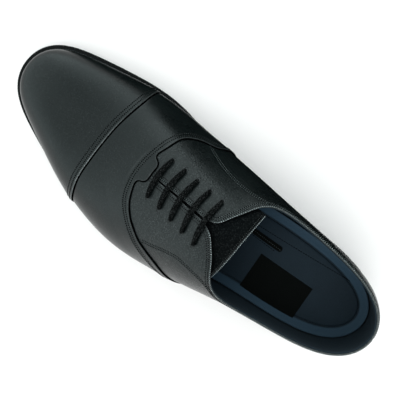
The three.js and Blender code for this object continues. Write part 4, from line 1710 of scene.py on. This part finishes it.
def leather(name, colour, groups, roughness, scale, pebble, depth, sparkle, specular):
    """Dyed leather with grain, sewn rows with painted shade in their grooves, and a paler fold that is part
    wear, part painted highlight.
    """
    material, tree, shader = new_material(name, roughness, 0.0, 0.35, specular=specular)
    grain = group_node(tree, groups["grain"], Scale=scale, Pebble=pebble)
    seam = sewn_rows(tree, groups["seam"], "seam", 0.34)
    collar = sewn_rows(tree, groups["seam"], "collar", 0.34)
    wear = group_node(tree, groups["wear"])
    edge = mark_of(tree, "fold")
    groove = calc(tree, "MAXIMUM", seam.outputs["Groove"], collar.outputs["Groove"])
    base = blend_colour(tree, wear.outputs["Cloud"], paled(colour, 0.85), paled(colour, 1.15))
    speck = calc(tree, "MULTIPLY", grain.outputs["Speck"], 0.35)
    base = blend_colour(tree, speck, base, paled(colour, 2.2, 0.004))
    # Paler fold: part wear, part painted highlight along the folded edge.
    worn_and_lit = calc(tree, "MULTIPLY", edge, ramp(tree, grain.outputs["Speck"], 0.0, 0.6, 0.35, 1.0))
    base = blend_colour(tree, calc(tree, "MULTIPLY", worn_and_lit, 0.8), base, paled(colour, 4.0, 0.36))
    # Painted shade: the colour in the stitch grooves falls to a tenth.
    base = blend_colour(tree, calc(tree, "MULTIPLY", groove, 0.9), base, paled(colour, 0.1))
    tree.links.new(base, shader.inputs["Base Color"])
    tree.links.new(calc(tree, "MULTIPLY", grain.outputs["Speck"], sparkle), shader.inputs["Coat Weight"])
    gloss = calc(tree, "MULTIPLY", wear.outputs["Cloud"], 0.06)
    gloss = calc(tree, "ADD", gloss, roughness - 0.03)
    gloss = calc(tree, "ADD", gloss, calc(tree, "MULTIPLY", groove, 0.4))
    tree.links.new(gloss, shader.inputs["Roughness"])
    rows = calc(tree, "ADD", seam.outputs["Height"], collar.outputs["Height"])
    bump(tree, shader, ((grain.outputs["Height"], depth), (rows, 0.5 * MM)))
    return material


def lining_material(groups):
    """Blue leather lining, with painted light that makes the sock's turned-up edge paler."""
    colour = colours().lining
    material, tree, shader = new_material("lining", 0.65, sheen=0.03, specular=0.1)
    grain = group_node(tree, groups["grain"], Scale=1300.0, Pebble=0.4)
    wear = group_node(tree, groups["wear"])
    cup_light_mark = mark_of(tree, "cup")
    base = blend_colour(tree, wear.outputs["Cloud"], paled(colour, 0.88), paled(colour, 1.12))
    base = blend_colour(tree, calc(tree, "MULTIPLY", grain.outputs["Speck"], 0.3), base, paled(colour, 1.8))
    # Painted light: the sock's turned-up edge is mixed towards a colour five times paler.
    base = blend_colour(tree, ramp(tree, cup_light_mark, 0.5, 1.0, 0.1, 0.85), base, paled(colour, 5.0))
    tree.links.new(base, shader.inputs["Base Color"])
    bump(tree, shader, ((grain.outputs["Height"], 0.08 * MM),))
    return material


def edge_material(name, colour, groups, roughness, grooves, coat=0.0, specular=0.05):
    """Dressed leather edge or rubber, with fine lines that run along it."""
    material, tree, shader = new_material(name, roughness, coat, specular=specular)
    wear = group_node(tree, groups["wear"])
    grain = group_node(tree, groups["grain"], Scale=2400.0, Pebble=0.3)
    place = object_place(tree)
    turned = add(tree, "ShaderNodeMapping", {"Vector": place, "Scale": (30.0, 30.0, grooves)})
    lines = noise(tree, turned.outputs[0], 1.0, 3.0)
    base = blend_colour(tree, lines, paled(colour, 0.7), paled(colour, 1.3))
    dust = calc(tree, "MULTIPLY", wear.outputs["Dust"], 0.4)
    base = blend_colour(tree, dust, base, paled(colour, 2.5, 0.01))
    tree.links.new(base, shader.inputs["Base Color"])
    bump(tree, shader, ((lines, 0.12 * MM), (grain.outputs["Height"], 0.03 * MM)))
    return material


def thread_material(name, colour, groups, roughness, specular, flecked):
    """Waxed thread or woven cord, with fine fibres and pale flecks."""
    material, tree, shader = new_material(name, roughness, specular=specular)
    wear = group_node(tree, groups["wear"])
    place = object_place(tree)
    fibres = noise(tree, place, 4200.0, 2.0)
    base = blend_colour(tree, fibres, paled(colour, 0.6), paled(colour, 1.5))
    flecks = noise(tree, place, 1500.0, 1.0)
    fleck = calc(tree, "MULTIPLY", ramp(tree, flecks, 0.54, 0.66), flecked)
    base = blend_colour(tree, fleck, base, paled(colour, 4.0, 0.10))
    dust = calc(tree, "MULTIPLY", wear.outputs["Dust"], flecked)
    base = blend_colour(tree, dust, base, paled(colour, 4.0, 0.16))
    tree.links.new(base, shader.inputs["Base Color"])
    bump(tree, shader, ((fibres, 0.12 * MM),))
    return material


def finish_pieces():
    """Makes the materials once and gives each piece its own."""
    groups = {"grain": grain_group(), "seam": seam_group(), "wear": wear_group()}
    shades = colours()
    smooth = leather("smooth_calf", shades.leather, groups, 0.29, 1500.0, 0.2, 0.045 * MM, 0.16, 0.21)
    grained = leather("grained_calf", shades.leather, groups, 0.29, 1250.0, 0.5, 0.17 * MM, 0.42, 0.235)
    pebbled = leather("tongue_calf", shades.tongue, groups, 0.5, 1100.0, 0.8, 0.28 * MM, 0.16, 0.015)
    lined = lining_material(groups)
    sole_edge = edge_material("sole_edge", shades.sole, groups, 0.55, 1500.0, 0.0, 0.12)
    heel_edge = edge_material("heel_edge", shades.heel, groups, 0.45, 900.0, 0.15, 0.25)
    rubber = edge_material("rubber", shades.rubber, groups, 0.62, 500.0)
    cord = thread_material("cord", shades.cord, groups, 0.8, 0.03, 0.2)
    thread = thread_material("thread", shades.thread, groups, 0.4, 0.34, 0.2)
    # Painted highlight: the stitches on the dark inner quarter are 2.6 times paler.
    pale_thread = thread_material("pale_thread", paled(shades.thread, 2.6), groups, 0.4, 0.4, 0.3)
    # Painted highlight: the edge stitches are light grey.
    edge_thread = thread_material("edge_thread", shades.edge_thread, groups, 0.4, 0.4, 0.5)
    plain = edge_material("patch_cloth", shades.patch, groups, 0.9, 600.0)
    # Flat black with no reflection: painted shade in the needle holes and in the corners behind the folds;
    # the sock's black stitches use it as well.
    hole = plain_material("needle_hole", 0.9, (0.0005, 0.0005, 0.0005, 1), specular=0.0)
    table = (
        ("vamp_edge", thread), ("edge_stitches", edge_thread), ("binding", hole),
        ("sock_stitches", hole), ("quarter_inner_stitches", pale_thread), ("stitches", thread),
        ("lace_holes", grained), ("holes", hole),
        ("toe_cap", smooth), ("vamp_lining", lined), ("vamp", smooth), ("quarter", grained),
        ("tongue_leather", pebbled), ("lining", lined), ("footbed", lined), ("sock_", plain),
        ("lace_", cord), ("welt_strip", sole_edge), ("rand_strip", sole_edge), ("sole", sole_edge),
        ("heel_lifts", heel_edge), ("heel_top_piece", rubber),
    )
    for obj in bpy.data.objects:
        for word, material in table:
            if word in obj.name and obj.name not in frame["nodes"]:
                obj.data.materials.clear()
                obj.data.materials.append(material)
                break


# Stage
CARD_FAR = -0.2

# Dark card: place along the shoe, where its floor part starts, and height of its wall
CARD = (
    (-0.200, -0.042, 0.045),
    (-0.080, -0.042, 0.045),
    (-0.020, -0.043, 0.050),
    (0.020, -0.057, 0.080),
    (0.060, -0.058, 0.150),
    (0.100, -0.054, 0.210),
    (0.140, -0.043, 0.240),
)
CAMERA_PLACE = Vector((-0.0164, -0.0766, 0.6869))
CAMERA_ROLL = math.radians(214.341)
CAMERA_AIM = Vector((-0.0067, -0.0077, 0.040))
CAMERA_LENS = 86.0
LAMP_PLACE = (-0.3, 0.7, 1.9)
LAMP_SIZE = 2.2
LAMP_POWER = 26
LAMP_COLOUR = (0.92, 1.0, 1.0)
FLOOR_COLOUR = (0.84, 0.74, 0.73, 1)
WORLD_COLOUR = (0.84, 0.99, 1.0, 1)
CARD_COLOUR = (0.002, 0.002, 0.002, 1)


def camera():
    """Camera at the photograph's place and roll, aimed at the middle of the shoe."""
    back = (CAMERA_PLACE - CAMERA_AIM).normalized()
    ahead = Vector((1, 0, 0))
    ahead = (ahead - back * ahead.dot(back)).normalized()
    aside = back.cross(ahead)
    right = ahead * math.cos(CAMERA_ROLL) + aside * math.sin(CAMERA_ROLL)
    up = aside * math.cos(CAMERA_ROLL) - ahead * math.sin(CAMERA_ROLL)
    bpy.ops.object.camera_add(location=CAMERA_PLACE)
    made = bpy.context.object
    turned = Matrix((right, up, back)).transposed()
    made.rotation_euler = turned.to_euler()
    made.data.lens = CAMERA_LENS
    made.data.dof.use_dof = False
    bpy.context.scene.camera = made


def area_light(name, place, size, power, colour):
    """A soft square light that looks at the shoe."""
    bpy.ops.object.light_add(type="AREA", location=place)
    lamp = bpy.context.object
    lamp.name = name
    lamp.data.size = size
    lamp.data.energy = power
    lamp.data.color = colour
    aim = Vector(place) - Vector((0, 0, 0.04))
    lamp.rotation_euler = aim.to_track_quat("Z", "Y").to_euler()


def floor():
    """Plain pale floor."""
    bpy.ops.object.select_all(action="DESELECT")
    bpy.ops.mesh.primitive_plane_add(size=30, location=(0, 0, CAD_BOX[0][2] - 0.0001))
    ground = bpy.context.object
    ground.name = "floor"
    ground.data.materials.append(plain_material("floor", 0.8, FLOOR_COLOUR))


def dark_card():
    """Dark card beside the shoe, seen only as its reflection, as a second shoe would be."""
    points = []
    for x, near, height in CARD:
        points += [(x, near, 0.001), (x, CARD_FAR, 0.001), (x, CARD_FAR, height)]
    faces = []
    for first in range(0, len(points) - 3, 3):
        faces.append((first, first + 1, first + 4, first + 3))
        faces.append((first + 1, first + 2, first + 5, first + 4))
    card = mesh_object("dark_card", points, faces)
    card.data.materials.append(plain_material("dark_card", 1.0, CARD_COLOUR, specular=0.0))
    card.visible_camera = False
    card.visible_diffuse = False
    card.visible_shadow = False


def world():
    """Pale surroundings, brighter low down, in front of the shoe and on its inner side."""
    bpy.context.scene.view_settings.view_transform = "Standard"
    made = bpy.context.scene.world or bpy.data.worlds.new("studio")
    bpy.context.scene.world = made
    made.use_nodes = True
    tree = made.node_tree
    back = tree.nodes["Background"]
    back.inputs["Color"].default_value = WORLD_COLOUR
    place = add(tree, "ShaderNodeTexCoord").outputs["Generated"]
    towards = add(tree, "ShaderNodeSeparateXYZ", {0: place})
    low = ramp(tree, towards.outputs["Z"], 0.0, 0.85, 1.7, 1.1)
    front = ramp(tree, towards.outputs["X"], 0.2, 0.8, 1.0, 1.5)
    inner = ramp(tree, towards.outputs["Y"], -0.85, -0.25, 1.7, 1.0)
    tree.links.new(calc(tree, "MULTIPLY", calc(tree, "MULTIPLY", low, front), inner), back.inputs["Strength"])


# Sizes and colours that a user would change
def colour_property(name, description, default):
    """A colour property."""
    return FloatVectorProperty(
        name=name, description=description, subtype="COLOR", size=4, min=0, max=1, default=default,
    )


class ShoeSizes(bpy.types.PropertyGroup):
    """Sizes of the sewing, the laces and the welt."""

    stitch_length: FloatProperty(
        name="Stitch length", description="Length of one stitch", default=0.85 * MM, unit="LENGTH",
    )
    stitch_pitch: FloatProperty(
        name="Stitch pitch", description="From one stitch to the next", default=1.45 * MM, unit="LENGTH",
    )
    thread: FloatProperty(
        name="Thread", description="Thickness of the thread", default=0.36 * MM, unit="LENGTH",
    )
    rib_pitch: FloatProperty(
        name="Rib pitch", description="From one rib of the welt to the next", default=1.9 * MM,
        unit="LENGTH",
    )
    rib_depth: FloatProperty(
        name="Rib depth", description="Depth of the welt's ribs", default=0.28 * MM, unit="LENGTH",
    )
    needle_hole: FloatProperty(
        name="Needle hole", description="Width of a needle hole", default=1.0 * MM, unit="LENGTH",
    )
    lace_width: FloatProperty(
        name="Lace width", description="Width of the lace", default=3.9 * MM, unit="LENGTH",
    )
    lace_height: FloatProperty(
        name="Lace height", description="Height of the lace", default=3.0 * MM, unit="LENGTH",
    )


class ShoeColours(bpy.types.PropertyGroup):
    """Colours of the shoe."""

    leather: colour_property("Leather", "Colour of the upper", (0.0018, 0.0030, 0.0030, 1))
    tongue: colour_property("Tongue", "Colour of the tongue", (0.0010, 0.0014, 0.0016, 1))
    sole: colour_property("Sole edge", "Colour of the welt and the outsole", (0.0012, 0.0015, 0.0015, 1))
    heel: colour_property("Heel", "Colour of the heel block", (0.0025, 0.0030, 0.0030, 1))
    patch: colour_property("Patch", "Colour of the patch and the strip", (0.0020, 0.0024, 0.0022, 1))
    rubber: colour_property("Top piece", "Colour of the rubber top piece", (0.008, 0.008, 0.008, 1))
    lining: colour_property("Lining", "Colour of the lining and the sock", (0.0052, 0.0095, 0.0142, 1))
    cord: colour_property("Laces", "Colour of the laces", (0.0006, 0.0008, 0.0008, 1))
    # Dark grey, lifted above black thread as a painted highlight on the stitches.
    thread: colour_property("Thread", "Colour of the stitches", (0.026, 0.030, 0.030, 1))
    # Light grey, standing for glints on the black edge stitches: painted highlight.
    edge_thread: colour_property("Edge thread", "Colour of the worn edge stitches", (0.22, 0.24, 0.24, 1))


# Operators
class SHOE_OT_toe_cap(bpy.types.Operator):
    """Build the toe cap and its stitches"""

    bl_idname = "shoe.toe_cap"
    bl_label = "Toe cap"

    def execute(self, context):
        toe_cap()
        return {"FINISHED"}


class SHOE_OT_vamp(bpy.types.Operator):
    """Build the vamp and its stitches"""

    bl_idname = "shoe.vamp"
    bl_label = "Vamp"

    def execute(self, context):
        vamp()
        return {"FINISHED"}


class SHOE_OT_quarters(bpy.types.Operator):
    """Build both quarters with their facings and stitches"""

    bl_idname = "shoe.quarters"
    bl_label = "Quarters"

    def execute(self, context):
        for side in ("outer", "inner"):
            quarter(side)
        return {"FINISHED"}


class SHOE_OT_lining(bpy.types.Operator):
    """Build the lining of the quarters and the vamp"""

    bl_idname = "shoe.lining"
    bl_label = "Lining"

    def execute(self, context):
        for side in ("outer", "inner"):
            lining(side)
        vamp_lining()
        return {"FINISHED"}


class SHOE_OT_tongue(bpy.types.Operator):
    """Build the tongue"""

    bl_idname = "shoe.tongue"
    bl_label = "Tongue"

    def execute(self, context):
        tongue()
        return {"FINISHED"}


class SHOE_OT_footbed(bpy.types.Operator):
    """Build the insole with its sock, seams, patch and strip"""

    bl_idname = "shoe.footbed"
    bl_label = "Footbed"

    def execute(self, context):
        footbed()
        sock_details()
        return {"FINISHED"}


class SHOE_OT_laces(bpy.types.Operator):
    """Build the five lace bars and their holes"""

    bl_idname = "shoe.laces"
    bl_label = "Laces"

    def execute(self, context):
        roots = []
        for number in range(BAR_COUNT):
            roots += lace_bar(number, number)
        lace_fuzz(roots, BAR_COUNT)
        lace_holes()
        return {"FINISHED"}


class SHOE_OT_sole(bpy.types.Operator):
    """Build the outsole, the welt and the rand"""

    bl_idname = "shoe.sole"
    bl_label = "Sole and welt"

    def execute(self, context):
        outsole()
        welts()
        return {"FINISHED"}


class SHOE_OT_heel(bpy.types.Operator):
    """Build the heel block and its top piece"""

    bl_idname = "shoe.heel"
    bl_label = "Heel"

    def execute(self, context):
        heel()
        return {"FINISHED"}


class SHOE_OT_finish(bpy.types.Operator):
    """Make the materials and give each piece its own"""

    bl_idname = "shoe.finish"
    bl_label = "Materials"

    def execute(self, context):
        finish_pieces()
        return {"FINISHED"}


class SHOE_OT_stage(bpy.types.Operator):
    """Set up the floor, the lights and the camera"""

    bl_idname = "shoe.stage"
    bl_label = "Stage"

    def execute(self, context):
        floor()
        dark_card()
        world()
        area_light("overhead", LAMP_PLACE, LAMP_SIZE, LAMP_POWER, LAMP_COLOUR)
        camera()
        return {"FINISHED"}


OPERATORS = (
    SHOE_OT_toe_cap, SHOE_OT_vamp, SHOE_OT_quarters, SHOE_OT_lining, SHOE_OT_tongue, SHOE_OT_footbed,
    SHOE_OT_laces, SHOE_OT_sole, SHOE_OT_heel, SHOE_OT_finish, SHOE_OT_stage,
)


class VIEW3D_PT_shoe(bpy.types.Panel):
    """Sizes, colours and steps of the shoe"""

    bl_label = "Dress shoe"
    bl_idname = "VIEW3D_PT_shoe"
    bl_space_type = "VIEW_3D"
    bl_region_type = "UI"
    bl_category = "Shoe"

    def draw(self, context):
        layout = self.layout
        for group in (context.scene.shoe_sizes, context.scene.shoe_colours):
            box = layout.box()
            for name in group.__annotations__:
                box.prop(group, name)
        for operator in OPERATORS:
            layout.operator(operator.bl_idname)


CLASSES = (ShoeSizes, ShoeColours, *OPERATORS, VIEW3D_PT_shoe)


def register():
    """Registers the classes and the scene's properties."""
    for one in CLASSES:
        bpy.utils.register_class(one)
    bpy.types.Scene.shoe_sizes = PointerProperty(type=ShoeSizes)
    bpy.types.Scene.shoe_colours = PointerProperty(type=ShoeColours)


def unregister():
    """Takes the classes and the scene's properties away again."""
    del bpy.types.Scene.shoe_colours
    del bpy.types.Scene.shoe_sizes
    for one in reversed(CLASSES):
        bpy.utils.unregister_class(one)


def main():
    """Builds the shoe and its stage."""
    register()
    bpy.ops.shoe.toe_cap()
    bpy.ops.shoe.vamp()
    bpy.ops.shoe.quarters()
    bpy.ops.shoe.lining()
    bpy.ops.shoe.tongue()
    bpy.ops.shoe.footbed()
    bpy.ops.shoe.laces()
    bpy.ops.shoe.sole()
    bpy.ops.shoe.heel()
    bpy.ops.shoe.finish()
    bpy.ops.shoe.stage()


if __name__ == "__main__":
    main()
